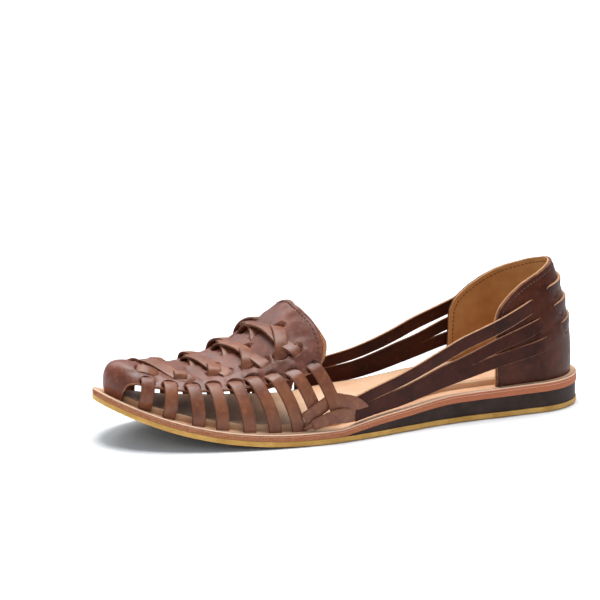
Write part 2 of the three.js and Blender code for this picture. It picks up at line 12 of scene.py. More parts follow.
import bpy
import numpy as np
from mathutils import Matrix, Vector


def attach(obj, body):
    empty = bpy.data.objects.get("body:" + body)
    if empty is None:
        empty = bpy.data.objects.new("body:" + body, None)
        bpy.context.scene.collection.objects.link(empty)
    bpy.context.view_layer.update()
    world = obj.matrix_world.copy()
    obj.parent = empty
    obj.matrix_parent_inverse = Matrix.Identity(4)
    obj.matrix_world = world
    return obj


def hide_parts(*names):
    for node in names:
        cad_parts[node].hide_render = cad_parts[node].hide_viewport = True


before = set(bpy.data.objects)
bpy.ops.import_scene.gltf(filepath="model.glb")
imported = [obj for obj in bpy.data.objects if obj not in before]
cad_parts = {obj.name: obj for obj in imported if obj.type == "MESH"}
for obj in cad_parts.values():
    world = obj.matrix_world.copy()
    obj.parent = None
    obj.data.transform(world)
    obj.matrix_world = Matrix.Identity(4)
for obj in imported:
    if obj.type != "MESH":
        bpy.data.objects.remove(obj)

LOG = logging.getLogger("huarache")
MM = 0.001
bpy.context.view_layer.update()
Surface = Callable[[np.ndarray, np.ndarray, np.ndarray], np.ndarray]
Rows = list[tuple[float, float, float, float]]
BURIED = -1.9  # lift of a strap's end under the leather
IN_SLOT = -1.2  # lift of a strap where it passes its slot


class Side(Enum):
    """The two sides of the shoe, as the sign of Y and of every angle and distance on the last."""

    LATERAL = -1
    MEDIAL = 1


class Edge(Enum):
    """How a strap ends: tucked into a slot with a rounded end, or cut square."""

    TUCKED = "tucked"
    SQUARE = "square"


# ------------------------------------------------------------------ the last
class Profile:
    """A monotone cubic through a short table."""

    def __init__(self, rows: Sequence[tuple[float, float]]) -> None:
        """Work out the tangents.

        Args:
            rows: pairs of station and value, in order.
        """
        self.x = np.array([row[0] for row in rows], float)
        self.y = np.array([row[1] for row in rows], float)
        slope = np.diff(self.y) / np.diff(self.x)
        inner = slope[:-1] * slope[1:]
        total = slope[:-1] + slope[1:]
        safe = np.where(inner > 0, total, 1.0)
        middle = np.where(inner > 0, 2 * inner / safe, 0.0)
        self.tangent = np.concatenate([slope[:1], middle, slope[-1:]])

    def __call__(self, where: np.ndarray) -> np.ndarray:
        """Value at one or many stations, held constant past both ends."""
        v = np.clip(np.asarray(where, float), self.x[0], self.x[-1])
        i = np.clip(np.searchsorted(self.x, v, side="right") - 1, 0, len(self.x) - 2)
        h = self.x[i + 1] - self.x[i]
        t = (v - self.x[i]) / h
        rise = self.y[i + 1] - self.y[i]
        bend = (1 - t) * self.tangent[i] - t * self.tangent[i + 1]
        return self.y[i] + t * t * (3 - 2 * t) * rise + h * t * (1 - t) * bend


def profile(*rows: tuple[float, float]) -> Any:
    """A dataclass field that holds a Profile through the given rows."""
    return field(default_factory=lambda: Profile(rows))


def unit(v: np.ndarray) -> np.ndarray:
    """Vectors of length one along the last axis."""
    return v / np.maximum(np.linalg.norm(v, axis=-1, keepdims=True), 1e-9)


def smooth_step(low: float, high: float, v: np.ndarray) -> np.ndarray:
    """0 below low, 1 above high, smooth between; low may be above high."""
    t = np.clip((v - low) / (high - low), 0, 1)
    return t * t * (3 - 2 * t)


@dataclass(frozen=True)
class Last:
    """The form that sole and upper are built on, with its driving sizes."""

    length: float = 262.0
    heel_x: float = 131.0
    heel_cap: float = 34.0
    toe_cap: float = 84.0
    toe_exponent: float = 2.0
    outsole_thickness: float = 3.0
    toe_spring: float = 20.6
    flat_to: float = 157.0
    spring_exponent: float = 2.65
    gap: float = 0.3
    vamp_inset: float = 4.6
    vamp_end: float = 257.6
    vamp_toe_cap: float = 67.6
    vamp_toe_exponent: float = 1.85
    vamp_nose: float = 17.0
    nose_exponent: float = 2.8
    toe_tuck: float = 1.2
    tuck_height: float = 4.0
    tuck_from: float = 222.0
    tuck_full: float = 250.0
    section_exponent: float = 2.25
    crown_shift: float = 4.0
    crown_fade: float = 60.0
    wall_inset: float = 5.6
    lean_back: float = 10.5
    lean_side: float = 7.0
    bulge: float = 0.8
    lean_height: float = 57.0
    heel_turn: float = 38.0
    half_width: Profile = profile(
        (0, 31.5), (50, 31.5), (80, 30.8), (95, 31.2), (110, 32.8), (130, 36.6), (155, 41.2),
        (175, 43.8), (200, 44.8), (262, 44.8))
    centre: Profile = profile(
        (0, 0), (35, 0), (50, -0.5), (80, -2), (95, -3.4), (110, -4.8), (130, -5.2), (155, -4),
        (175, -0.8), (200, 2.8), (220, 4.5), (240, 5.4), (254, 6.2), (262, 6.6))
    wedge: Profile = profile(
        (0, 8.2), (85, 7.4), (100, 6.2), (115, 4.6), (130, 3.3), (145, 1.1), (152, 0), (262, 0))
    midsole: Profile = profile(
        (0, 5), (85, 4.5), (100, 4.3), (115, 4.2), (130, 4.1), (145, 3.9), (200, 3.5), (262, 3.3))
    vamp_height: Profile = profile(
        (140, 66), (155, 59.5), (175, 45), (195, 31.5), (215, 24), (235, 20.5), (250, 19.5), (262, 18))

    def plan_half(self, at: np.ndarray, inset: float) -> np.ndarray:
        """Half width of the plan outline.

        Args:
            at: stations.
            inset: how far the outline is drawn in from the sole's rim.

        Returns:
            Half widths, in the shape of at.
        """
        heel = np.clip((self.heel_cap - at) / (self.heel_cap - inset), 0, 1)
        toe = np.clip((at - self.length + self.toe_cap) / (self.toe_cap - inset), 0, 1)
        tip = (1 - toe ** self.toe_exponent) ** (1 / self.toe_exponent)
        return (self.half_width(at) - inset) * np.sqrt(1 - heel ** 2) * tip

    def y_shift(self) -> float:
        """What centres the sole's widest points on Y = 0."""
        at = np.linspace(0, self.length, 2000)
        half = self.plan_half(at, 0)
        middle = self.centre(at)
        return -float((middle + half).max() + (middle - half).min()) / 2

    def outsole_bottom(self, at: np.ndarray) -> np.ndarray:
        """Height of the outsole's underside, with the toe spring."""
        run = np.clip((at - self.flat_to) / (self.length - self.flat_to), 0, 1)
        return self.toe_spring * run ** self.spring_exponent

    def wedge_bottom(self, at: np.ndarray) -> np.ndarray:
        """Height of the top of the outsole."""
        return self.outsole_bottom(at) + self.outsole_thickness

    def midsole_bottom(self, at: np.ndarray) -> np.ndarray:
        """Height of the top of the wedge."""
        return self.wedge_bottom(at) + self.wedge(at)

    def midsole_top(self, at: np.ndarray) -> np.ndarray:
        """Height of the midsole's top, which the upper stands on."""
        return self.midsole_bottom(at) + self.midsole(at)

    def nose_rise(self, at: np.ndarray, length: np.ndarray) -> np.ndarray:
        """Share of the vamp's height left as it rounds down to the toe over a length."""
        nose = np.clip((at - self.vamp_end + self.vamp_nose) / length, 0, 1)
        return (1 - nose ** self.nose_exponent) ** (1 / self.nose_exponent)

    def vamp(self, at: np.ndarray, angle: np.ndarray, lift: np.ndarray) -> np.ndarray:
        """Points on the vamp.

        Args:
            at: stations from the back of the heel.
            angle: degrees from the crown, minus on the lateral side, 90 at the sole.
            lift: distance off the vamp's surface.

        Returns:
            Points in millimetres in the frame, with a last axis of 3.
        """
        at, angle, lift = np.broadcast_arrays(*(np.asarray(v, float) for v in (at, angle, lift)))
        turn = np.radians(angle)
        side, rise = np.sin(turn), np.cos(turn)
        power = 2 / self.section_exponent
        above = self.vamp_height(at) * np.abs(rise) ** power * self.nose_rise(at, self.vamp_nose)
        tucked = smooth_step(self.tuck_from, self.tuck_full, at) * np.exp(-above / self.tuck_height)
        lift = lift - self.toe_tuck * tucked
        shifted = at + lift * np.clip((at - 235) / (self.vamp_end - 235), 0, 1) ** 2
        toe = np.clip((shifted - self.vamp_end + self.vamp_toe_cap) / (self.vamp_toe_cap + lift), 0, 1)
        tip = (1 - toe ** self.vamp_toe_exponent) ** (1 / self.vamp_toe_exponent)
        half = (self.half_width(shifted) - self.vamp_inset + lift) * tip
        height = (self.vamp_height(shifted) + lift) * self.nose_rise(shifted, self.vamp_nose + lift)
        shift = self.crown_shift * np.clip((self.vamp_end - at) / self.crown_fade, 0, 1) * rise ** 2
        y = self.centre(shifted) + half * np.sign(side) * np.abs(side) ** power + shift
        z = self.midsole_top(shifted) + self.gap + height * np.sign(rise) * np.abs(rise) ** power
        return np.stack([self.heel_x - shifted, y + Y_SHIFT, z], -1)

    def wall(self, along: np.ndarray, height: np.ndarray, lift: np.ndarray) -> np.ndarray:
        """Points on the heel and quarter wall.

        Args:
            along: distance along the wall from the back of the heel, minus on the lateral side.
            height: height above the midsole.
            lift: distance outwards from the counter's inner face.

        Returns:
            Points in millimetres in the frame, with a last axis of 3.
        """
        along, height, lift = np.broadcast_arrays(*(np.asarray(v, float) for v in (along, height, lift)))
        foot = WALL_PATH.at(along)
        run = unit(WALL_PATH.at(along + 1.5) - WALL_PATH.at(along - 1.5))
        out = np.stack([run[..., 1], run[..., 0]], -1)
        back = np.exp(-((along / self.heel_turn) ** 2))
        top = self.lean_side + (self.lean_back - self.lean_side) * back
        level = np.clip(height / self.lean_height, 0, 1)
        lean = top * (height / self.lean_height) ** 2 - self.bulge * np.sin(np.pi * level)
        step = lift - lean
        x = self.heel_x - foot[..., 0] + out[..., 0] * step
        y = foot[..., 1] + out[..., 1] * step
        z = self.midsole_top(foot[..., 0]) + self.gap + height
        return np.stack([x, y + Y_SHIFT, z], -1)


class WallPath:
    """The wall's path on the sole, from the lateral side round the heel to the medial side."""

    def __init__(self, last: Last, reach: float = 190.0) -> None:
        """Lay the path out.

        Args:
            last: the last it follows.
            reach: the station where it starts and ends.
        """
        turn = np.linspace(0, np.pi / 2, 60)
        heel = last.wall_inset + (last.heel_cap - last.wall_inset) * (1 - np.cos(turn))
        at = np.concatenate([heel, np.arange(last.heel_cap + 1, reach, 1.0)])
        half = last.plan_half(at, last.wall_inset)
        lateral = np.stack([at, last.centre(at) - half], -1)
        medial = np.stack([at, last.centre(at) + half], -1)
        self.points = np.concatenate([lateral[::-1], medial[1:]])
        steps = np.linalg.norm(np.diff(self.points, axis=0), axis=1)
        marks = np.concatenate([[0], np.cumsum(steps)])
        self.marks = marks - marks[len(at) - 1]

    def at(self, along: np.ndarray) -> np.ndarray:
        """Station and Y at a distance along the path."""
        return np.stack([np.interp(along, self.marks, self.points[:, k]) for k in (0, 1)], -1)


LAST = Last()
Y_SHIFT = LAST.y_shift()
WALL_PATH = WallPath(LAST)


# ------------------------------------------------------------------ meshes
def signed_volume(points: np.ndarray, faces: Sequence[tuple[int, ...]]) -> float:
    """Six times the volume of a closed island, minus when its faces point in."""
    total = 0.0
    for corners in {len(face) for face in faces}:
        group = np.array([face for face in faces if len(face) == corners])
        for k in range(1, corners - 1):
            a, b, c = points[group[:, 0]], points[group[:, k]], points[group[:, k + 1]]
            total += float(np.einsum("ij,ij->i", a, np.cross(b, c)).sum())
    return total


def ring_faces(rings: int, size: int, closed: bool = True) -> list[tuple[int, ...]]:
    """Quads between rings of equal size, numbered ring by ring."""
    return grid_faces(np.arange(rings * size).reshape(rings, size), closed)


def grid_faces(index: np.ndarray, closed: bool = False) -> list[tuple[int, ...]]:
    """Quads over a grid of vertex numbers.

    Args:
        index: rows by columns of vertex numbers.
        closed: whether the last column joins the first.

    Returns:
        Faces, row by row.
    """
    if closed:
        index = np.concatenate([index, index[:, :1]], axis=1)
    quads = np.stack([index[:-1, :-1], index[:-1, 1:], index[1:, 1:], index[1:, :-1]], -1)
    return [tuple(quad) for quad in quads.reshape(-1, 4).tolist()]


@dataclass
class MeshDraft:
    """Vertices and faces gathered before they become one object, in millimetres."""

    points: list[np.ndarray] = field(default_factory=list)
    faces: list[tuple[int, ...]] = field(default_factory=list)
    slots: list[int] = field(default_factory=list)
    wear_and_painted_light: list[np.ndarray] = field(default_factory=list)
    count: int = 0

    def add(self, points: np.ndarray, faces: list[tuple[int, ...]], slots: Sequence[int],
            wear_and_painted_light: Optional[np.ndarray] = None) -> None:
        """Append one closed island, turned to face outwards.

        Args:
            points: N by 3 points.
            faces: index tuples into those points.
            slots: a material index for each face.
            wear_and_painted_light: for each point, 1 where an edge is rubbed pale or a painted highlight is
                laid, -1 deep in a slot where painted shade darkens it, 0 between.
        """
        if signed_volume(points, faces) < 0:
            faces = [face[::-1] for face in faces]
        start = self.count
        self.points.append(points)
        self.faces.extend(tuple(start + k for k in face) for face in faces)
        self.slots.extend(slots)
        self.wear_and_painted_light.append(np.zeros(len(points)) if wear_and_painted_light is None else wear_and_painted_light)
        self.count += len(points)

    def build(self, name: str, materials: Sequence[bpy.types.Material]) -> bpy.types.Object:
        """Make the object, smooth shaded, with its place in its mesh.

        Args:
            name: the piece's name.
            materials: one for each slot used.

        Returns:
            The new object, linked to the scene.
        """
        mesh = bpy.data.meshes.new(name)
        mesh.from_pydata((np.concatenate(self.points) * MM).tolist(), [], self.faces)
        mesh.polygons.foreach_set("material_index", self.slots)
        mesh.polygons.foreach_set("use_smooth", [True] * len(self.faces))
        wear_and_painted_light = mesh.attributes.new("wear_and_painted_light", "FLOAT", "POINT")
        wear_and_painted_light.data.foreach_set("value", np.concatenate(self.wear_and_painted_light).astype(np.float32))
        mesh.update()
        for material in materials:
            mesh.materials.append(material)
        piece = bpy.data.objects.new(name, mesh)
        bpy.context.scene.collection.objects.link(piece)
        return piece


def rounding(distance: np.ndarray, radius: float) -> np.ndarray:
    """How far a face drops near its rounded border, by the distance from the border."""
    inside = np.clip(radius - distance, 0, radius)
    return radius - np.sqrt(radius ** 2 - inside ** 2)


def near_edge(length: float, pitch: float) -> np.ndarray:
    """Marks from 0 to length, close together at both ends for a rounded edge."""
    fine = np.array([0, 0.1, 0.25, 0.5, 0.9])
    middle = np.linspace(1.4, length - 1.4, max(int((length - 2.8) / pitch), 2))
    return np.concatenate([fine, middle, length - fine[::-1]])


def edge_distances(grid: np.ndarray) -> tuple[np.ndarray, ...]:
    """Distances over a grid of points to its four borders.

    Args:
        grid: rows by columns by 3 points.

    Returns:
        Distances from the first row, last row, first column and last column.
    """
    found = []
    for axis in (0, 1):
        steps = np.linalg.norm(np.diff(grid, axis=axis), axis=-1)
        shape = list(grid.shape[:2])
        shape[axis] = 1
        marks = np.concatenate([np.zeros(shape), np.cumsum(steps, axis=axis)], axis=axis)
        end = marks[-1:] if axis == 0 else marks[:, -1:]
        found += [marks, end - marks]
    return tuple(found)


@dataclass
class SheetIsland:
    """A closed sheet of leather between an outer and an inner grid of points."""

    outer: np.ndarray
    inner: np.ndarray
    wear_and_painted_light: np.ndarray

    def add_to(self, draft: MeshDraft, under_slot: int = 1, border_slot: int = 2) -> None:
        """Add the sheet to a mesh.

        Args:
            draft: the mesh that it joins.
            under_slot: the material slot of the inner face; the outer face has slot 0.
            border_slot: the material slot of the cut border.
        """
        rows, columns = self.outer.shape[:2]
        count = rows * columns
        index = np.arange(count).reshape(rows, columns)
        top = grid_faces(index)
        under = [tuple(count + k for k in face[::-1]) for face in top]
        loop = [*index[0], *index[1:, -1], *index[-1, -2::-1], *index[-2:0:-1, 0]]
        loop = [int(k) for k in loop]
        border = [(b, a, count + a, count + b) for a, b in zip(loop, loop[1:] + loop[:1])]
        points = np.concatenate([self.outer.reshape(-1, 3), self.inner.reshape(-1, 3)])
        slots = [0] * len(top) + [under_slot] * len(under) + [border_slot] * len(border)
        wear_and_painted_light = np.concatenate([self.wear_and_painted_light.ravel(), np.zeros(count)])
        draft.add(points, top + under + border, slots, wear_and_painted_light)


# ------------------------------------------------------------------ straps
@dataclass(frozen=True)
class StrapCut:
    """How a leather strap is cut: its width, thickness and the softness of its corners."""

    width: float = 6.8
    thickness: float = 1.45
    corner: float = 0.42
    crown: float = 0.16

    def section(self) -> tuple[np.ndarray, np.ndarray, np.ndarray]:
        """The cross-section, starting on the outer face.

        Returns:
            Places across from -1 to 1, places through from -1 to 1, and whether the face that
            starts at each point belongs to the cut edge.
        """
        half, deep, r = self.width / 2, self.thickness / 2, self.corner
        turn = np.radians([20, 45, 70])
        flat = np.linspace(-(half - r), half - r, 7)
        arch = deep - self.crown * (flat / half) ** 2
        fall = arch[0]
        across = [*flat, *(half - r + r * np.sin(turn)), half, half,
                  *(half - r + r * np.cos(turn)), *flat[::-1],
                  *(-(half - r) - r * np.sin(turn)), -half, -half,
                  *(-(half - r) - r * np.cos(turn))]
        through = [*arch, *(fall - r + r * np.cos(turn)), fall - r, -(deep - r),
                   *(-(deep - r) - r * np.sin(turn)), *(-deep * np.ones(7)),
                   *(-(deep - r) - r * np.cos(turn)), -(deep - r), fall - r,
                   *(fall - r + r * np.sin(turn))]
        edge = [False] * 7 + [True] * 8 + [False] * 6 + [True] * 9
        return np.array(across) / half, np.array(through) / deep, np.array(edge)


@dataclass
class StrapRun:
    """One strap that follows a surface through a short list of rows.

    Each row is (first coordinate, second coordinate, lift, width) on the surface.
    """

    surface: Surface
    rows: Rows
    cut: StrapCut
    start: Edge = Edge.TUCKED
    end: Edge = Edge.TUCKED
    pitch: float = 0.8

    def rows_at(self, t: np.ndarray) -> np.ndarray:
        """Rows between the given ones, by a Catmull-Rom curve; t runs from 0 to 1."""
        rows = np.array(self.rows, float)
        padded = np.concatenate([[2 * rows[0] - rows[1]], rows, [2 * rows[-1] - rows[-2]]])
        s = np.clip(t, 0, 1) * (len(rows) - 1)
        k = np.minimum(s.astype(int), len(rows) - 2)
        u = (s - k)[:, None]
        a, b, c, d = padded[k], padded[k + 1], padded[k + 2], padded[k + 3]
        return 0.5 * (2 * b + (c - a) * u + (2 * a - 5 * b + 4 * c - d) * u ** 2
                      + (3 * b - a - 3 * c + d) * u ** 3)

    def frames(self) -> tuple[np.ndarray, np.ndarray, np.ndarray, np.ndarray, np.ndarray]:
        """Evenly spaced centres, side directions, normals, widths and distances along."""
        t = np.linspace(0, 1, 40 * (len(self.rows) - 1))
        raw = self.surface(*self.rows_at(t).T[:3])
        marks = np.concatenate([[0], np.cumsum(np.linalg.norm(np.diff(raw, axis=0), axis=1))])
        count = max(int(marks[-1] / self.pitch), 6)
        along = np.linspace(0, marks[-1], count + 1)
        along = np.concatenate([[0, 0.25], along[1:-1], [marks[-1] - 0.25, marks[-1]]])
        first, second, lift, width = self.rows_at(np.interp(along, marks, t)).T
        centre = self.surface(first, second, lift)
        raised = self.surface(first, second, lift + 0.5) - self.surface(first, second, lift - 0.5)
        tangent = unit(np.gradient(centre, along, axis=0))
        side = unit(np.cross(raised, tangent))
        return centre, side, np.cross(tangent, side), width, along

    def add_to(self, draft: MeshDraft) -> None:
        """Add the strap's solid to a mesh: slot 0 for its faces, slot 1 for its cut edges."""
        centre, side, normal, width, along = self.frames()
        across, through, edge = self.cut.section()
        half = width / 2
        reach = half.mean() * 0.6
        for place, how in ((along, self.start), (along[-1] - along, self.end)):
            if how is Edge.TUCKED:
                inside = np.clip(1 - place / reach, 0, 0.97)
                half = half * np.sqrt(1 - inside ** 2)
        deep = self.cut.thickness / 2
        rings = (centre[:, None] + side[:, None] * (across[None, :, None] * half[:, None, None])
                 + normal[:, None] * (through[None, :, None] * deep))
        size = len(across)
        faces = ring_faces(len(rings), size)
        slots = [int(edge[k % size]) for k in range(len(faces))]
        last = (len(rings) - 1) * size
        faces += [tuple(range(size))[::-1], tuple(last + j for j in range(size))]
        slots += [1, 1]
        wear_and_painted_light = np.tile(np.abs(across) ** 8, len(rings))
        draft.add(rings.reshape(-1, 3), faces, slots, wear_and_painted_light)


@dataclass(frozen=True)
class Slot:
    """A slot that a strap comes out of: its place, the way the strap leaves, and its size."""

    place: np.ndarray
    leaves: np.ndarray
    normal: np.ndarray
    width: float
    reach: float = 7.0
    tunnel: float = 8.0

    def relief(self, points: np.ndarray) -> tuple[np.ndarray, np.ndarray]:
        """How a leather face sinks at the slot and stands up behind it.

        Args:
            points: N by 3 points of the face.

        Returns:
            For each point, how far it is into the slot and up on the bulge behind, 0 to 1.
        """
        offset = points - self.place
        ahead = offset @ self.leaves
        beside = offset @ np.cross(self.normal, self.leaves)
        near = np.abs(offset @ self.normal) < 9
        radius = self.width / 2 + 0.25
        nearest = np.clip(ahead, radius, None)
        gone = np.hypot(ahead - nearest, beside) - radius
        sunk = smooth_step(0.15, -0.3, gone) * smooth_step(self.reach, 1.8, ahead)
        lip = np.exp(-((np.maximum(gone, 0) / 1.4) ** 2)) * smooth_step(radius, 0, ahead)
        cover = np.exp(-((beside / (self.width * 0.6)) ** 4)) * smooth_step(2.0, -1.0, ahead)
        cover = cover * np.exp(np.minimum(ahead, 0) / self.tunnel)
        return sunk * near, np.maximum(lip * 0.75, cover) * near


def slot_on(surface: Surface, start: tuple[float, float], toward: tuple[float, float],
            width: float, **sizes: float) -> Slot:
    """A slot on a surface.

    Args:
        surface: the surface that it is cut in.
        start: its coordinates there.
        toward: coordinates of a point that the strap runs to.
        width: the strap's width.
        sizes: any of the slot's other sizes.

    Returns:
        The slot.
    """
    place = surface(np.array(start[0]), np.array(start[1]), np.array(0.0))
    ahead = surface(np.array(toward[0]), np.array(toward[1]), np.array(0.0))
    raised = surface(np.array(start[0]), np.array(start[1]), np.array(0.5))
    normal = unit(raised - place)
    leaves = ahead - place
    leaves = unit(leaves - normal * float(leaves @ normal))
    return Slot(place, leaves, normal, width, **sizes)


def slot_field(slots: Sequence[Slot], points: np.ndarray) -> tuple[np.ndarray, np.ndarray]:
    """How deep in any slot and how far up any bulge each point of a face is, 0 to 1."""
    sunk = np.zeros(len(points))
    raised = np.zeros(len(points))
    for slot in slots:
        into, up = slot.relief(points)
        sunk = np.maximum(sunk, into)
        raised = np.maximum(raised, up)
    return sunk, raised


# ------------------------------------------------------------------ finishes
def linear(code: str) -> tuple[float, float, float, float]:
    """A hexadecimal sRGB colour as linear RGBA."""
    parts = [int(code[k:k + 2], 16) / 255 for k in (0, 2, 4)]
    made = [v / 12.92 if v <= 0.04045 else ((v + 0.055) / 1.055) ** 2.4 for v in parts]
    return made[0], made[1], made[2], 1.0


class Graph:
    """A material's node tree, with short calls for the nodes that the finishes share."""

    def __init__(self, name: str) -> None:
        """Start a material with its shader and its object coordinates."""
        self.material = bpy.data.materials.new(name)
        self.material.use_nodes = True
        self.nodes = self.material.node_tree.nodes
        self.links = self.material.node_tree.links
        self.shader = self.nodes["Principled BSDF"]
        self.place = self.nodes.new("ShaderNodeTexCoord").outputs["Object"]

    def put(self, socket: bpy.types.NodeSocket, value: Any) -> None:
        """Link a socket or set its value."""
        if isinstance(value, bpy.types.NodeSocket):
            self.links.new(value, socket)
        else:
            socket.default_value = value

    def stretched(self, scale: tuple[float, float, float]) -> bpy.types.NodeSocket:
        """Object coordinates stretched by a factor along each axis."""
        node = self.nodes.new("ShaderNodeMapping")
        self.put(node.inputs["Vector"], self.place)
        node.inputs["Scale"].default_value = scale
        return node.outputs["Vector"]

    def noise(self, size_mm: float, detail: float = 2.0, rough: float = 0.5,
              place: Optional[bpy.types.NodeSocket] = None) -> bpy.types.NodeSocket:
        """Noise with patches of about a size.

        Args:
            size_mm: the size of its patches.
            detail: octaves.
            rough: weight of the fine octaves.
            place: coordinates, when they aren't the plain object's.

        Returns:
            The noise's value, about 0.5.
        """
        node = self.nodes.new("ShaderNodeTexNoise")
        self.put(node.inputs["Vector"], place or self.place)
        node.inputs["Scale"].default_value = 1 / (size_mm * MM)
        node.inputs["Detail"].default_value = detail
        node.inputs["Roughness"].default_value = rough
        return node.outputs["Fac"]

    def cells(self, size_mm: float) -> bpy.types.NodeSocket:
        """Distance to the middle of irregular cells of a size, as in leather grain."""
        node = self.nodes.new("ShaderNodeTexVoronoi")
        self.put(node.inputs["Vector"], self.place)
        node.inputs["Scale"].default_value = 1 / (size_mm * MM)
        return node.outputs["Distance"]

    def remap(self, value: Any, low: float, high: float, start: float = 0.0,
              end: float = 1.0) -> bpy.types.NodeSocket:
        """A value mapped from one range to another, clamped."""
        node = self.nodes.new("ShaderNodeMapRange")
        self.put(node.inputs["Value"], value)
        for name, number in (("From Min", low), ("From Max", high), ("To Min", start), ("To Max", end)):
            node.inputs[name].default_value = number
        return node.outputs["Result"]

    def mix(self, share: Any, first: Any, second: Any, blend: str = "MIX") -> bpy.types.NodeSocket:
        """Two colours mixed by a share."""
        node = self.nodes.new("ShaderNodeMix")
        node.data_type = "RGBA"
        node.blend_type = blend
        self.put(node.inputs["Factor"], share)
        self.put(node.inputs[6], first)
        self.put(node.inputs[7], second)
        return node.outputs[2]

    def math(self, operation: str, first: Any, second: Any) -> bpy.types.NodeSocket:
        """One arithmetic step on two values."""
        node = self.nodes.new("ShaderNodeMath")
        node.operation = operation
        self.put(node.inputs[0], first)
        self.put(node.inputs[1], second)
        return node.outputs[0]

    def wear_and_painted_light(self, low: float, high: float) -> bpy.types.NodeSocket:
        """The piece's attribute of rubbed edges, painted slot highlights and painted slot shade, mapped from
        a range to 0 to 1.
        """
        node = self.nodes.new("ShaderNodeAttribute")
        node.attribute_name = "wear_and_painted_light"
        return self.remap(node.outputs["Fac"], low, high)

    def bump(self, height: Any, depth_mm: float, strength: float = 1.0,
             normal: Optional[bpy.types.NodeSocket] = None) -> bpy.types.NodeSocket:
        """A bump of a depth over another normal."""
        node = self.nodes.new("ShaderNodeBump")
        node.inputs["Strength"].default_value = strength
        node.inputs["Distance"].default_value = depth_mm * MM
        self.put(node.inputs["Height"], height)
        if normal is not None:
            self.put(node.inputs["Normal"], normal)
        return node.outputs["Normal"]

    def finish(self, **sockets: Any) -> bpy.types.Material:
        """Link or set the shader's sockets, named with underscores, and give the material."""
        for name, value in sockets.items():
            self.put(self.shader.inputs[name.replace("_", " ")], value)
        return self.material


@dataclass(frozen=True)
class PullUpLeather:
    """Smooth oiled leather that pales where it is pulled over an edge, with painted shade in its slots and a
    painted highlight on their lips.
    """

    name: str
    deep: str
    middle: str
    pale: str
    rubbed_and_lip_highlight: str
    roughness: float = 0.42
    grain: float = 0.75
    mottle: float = 17.0
    gloss: float = 0.4
    coat: float = 0.05

    def build(self) -> bpy.types.Material:
        """Make the material."""
        g = Graph(self.name)
        broad = g.noise(self.mottle, 3, 0.55)
        small = g.noise(3.2, 4, 0.6)
        tone = g.mix(g.remap(broad, 0.32, 0.68), linear(self.deep), linear(self.middle))
        tone = g.mix(g.remap(small, 0.5, 0.78, 0, 0.5), tone, linear(self.pale))
        # Pales towards the rubbed colour where the attribute is high: at rubbed edges this is wear, at the
        # lips round the slots a painted highlight.
        tone = g.mix(g.math("MULTIPLY", g.wear_and_painted_light(0.35, 1.0), g.remap(small, 0.3, 0.62, 0.15, 0.8)),
                     tone, linear(self.rubbed_and_lip_highlight))
        # Painted shade: deep in a slot the colour turns near black (170b07).
        tone = g.mix(g.wear_and_painted_light(-0.15, -0.9), tone, linear("170b07"))
        grain = g.cells(self.grain)
        creases = g.noise(5.5, 3, 0.6)
        normal = g.bump(grain, 0.05, 0.45)
        normal = g.bump(creases, 0.28, 0.5, normal)
        rough = g.remap(small, 0.3, 0.7, self.roughness - 0.06, self.roughness + 0.1)
        return g.finish(Base_Color=tone, Roughness=rough, Normal=normal,
                        Specular_IOR_Level=self.gloss, Coat_Weight=self.coat, Coat_Roughness=0.3)


@dataclass(frozen=True)
class CutEdge:
    """The cut edge of leather: layers of fibre, paler or redder than the face.

    line is a pale colour painted where the attribute is 1, a painted highlight along the midsole's bevel and
    groove; heel is a colour it turns to heelwards.
    """

    name: str
    first: str
    second: str
    dark: str
    fibre: float = 0.55
    layer: float = 0.35
    roughness: float = 0.75
    line: Optional[str] = None
    heel: Optional[str] = None

    def build(self) -> bpy.types.Material:
        """Make the material."""
        g = Graph(self.name)
        fibres = g.noise(self.fibre, 3, 0.7)
        layers = g.noise(self.layer * 8, 2, 0.5, g.stretched((1, 1, 10)))
        tone = g.mix(g.remap(fibres, 0.38, 0.62), linear(self.first), linear(self.second))
        tone = g.mix(g.remap(layers, 0.52, 0.72, 0, 0.6), tone, linear(self.dark))
        if self.heel:
            along = g.nodes.new("ShaderNodeSeparateXYZ")
            g.put(along.inputs[0], g.place)
            tone = g.mix(g.remap(along.outputs["X"], -0.07, 0.05, 0, 0.75), tone, linear(self.heel))
        # Painted highlight: pale lines where the attribute is high.
        if self.line:
            tone = g.mix(g.math("MULTIPLY", g.wear_and_painted_light(0.4, 1.0), 0.8), tone, linear(self.line))
        normal = g.bump(fibres, 0.16, 0.8)
        return g.finish(Base_Color=tone, Roughness=self.roughness, Normal=normal,
                        Specular_IOR_Level=0.3)


@dataclass(frozen=True)
class NaturalLeather:
    """Undyed leather, as on a footbed, a sole's upper face or a lining."""

    name: str
    pale: str
    warm: str
    stain: str
    roughness: float = 0.55
    patch: float = 22.0
    stain_share: float = 0.35

    def build(self) -> bpy.types.Material:
        """Make the material."""
        g = Graph(self.name)
        patches = g.noise(self.patch, 4, 0.6)
        fine = g.noise(1.1, 3, 0.6)
        tone = g.mix(g.remap(patches, 0.35, 0.65), linear(self.pale), linear(self.warm))
        tone = g.mix(g.remap(g.noise(self.patch * 0.45, 3, 0.65), 0.55, 0.8, 0, self.stain_share),
                     tone, linear(self.stain))
        tone = g.mix(g.remap(fine, 0.3, 0.7, 0, 0.14), tone, linear(self.stain))
        normal = g.bump(g.cells(0.6), 0.03, 0.4)
        normal = g.bump(g.noise(7, 2), 0.2, 0.35, normal)
        return g.finish(Base_Color=tone, Roughness=g.remap(fine, 0.3, 0.7, self.roughness - 0.08,
                                                           self.roughness + 0.1),
                        Normal=normal, Specular_IOR_Level=0.4, Sheen_Weight=0.08,
                        Sheen_Roughness=0.6)


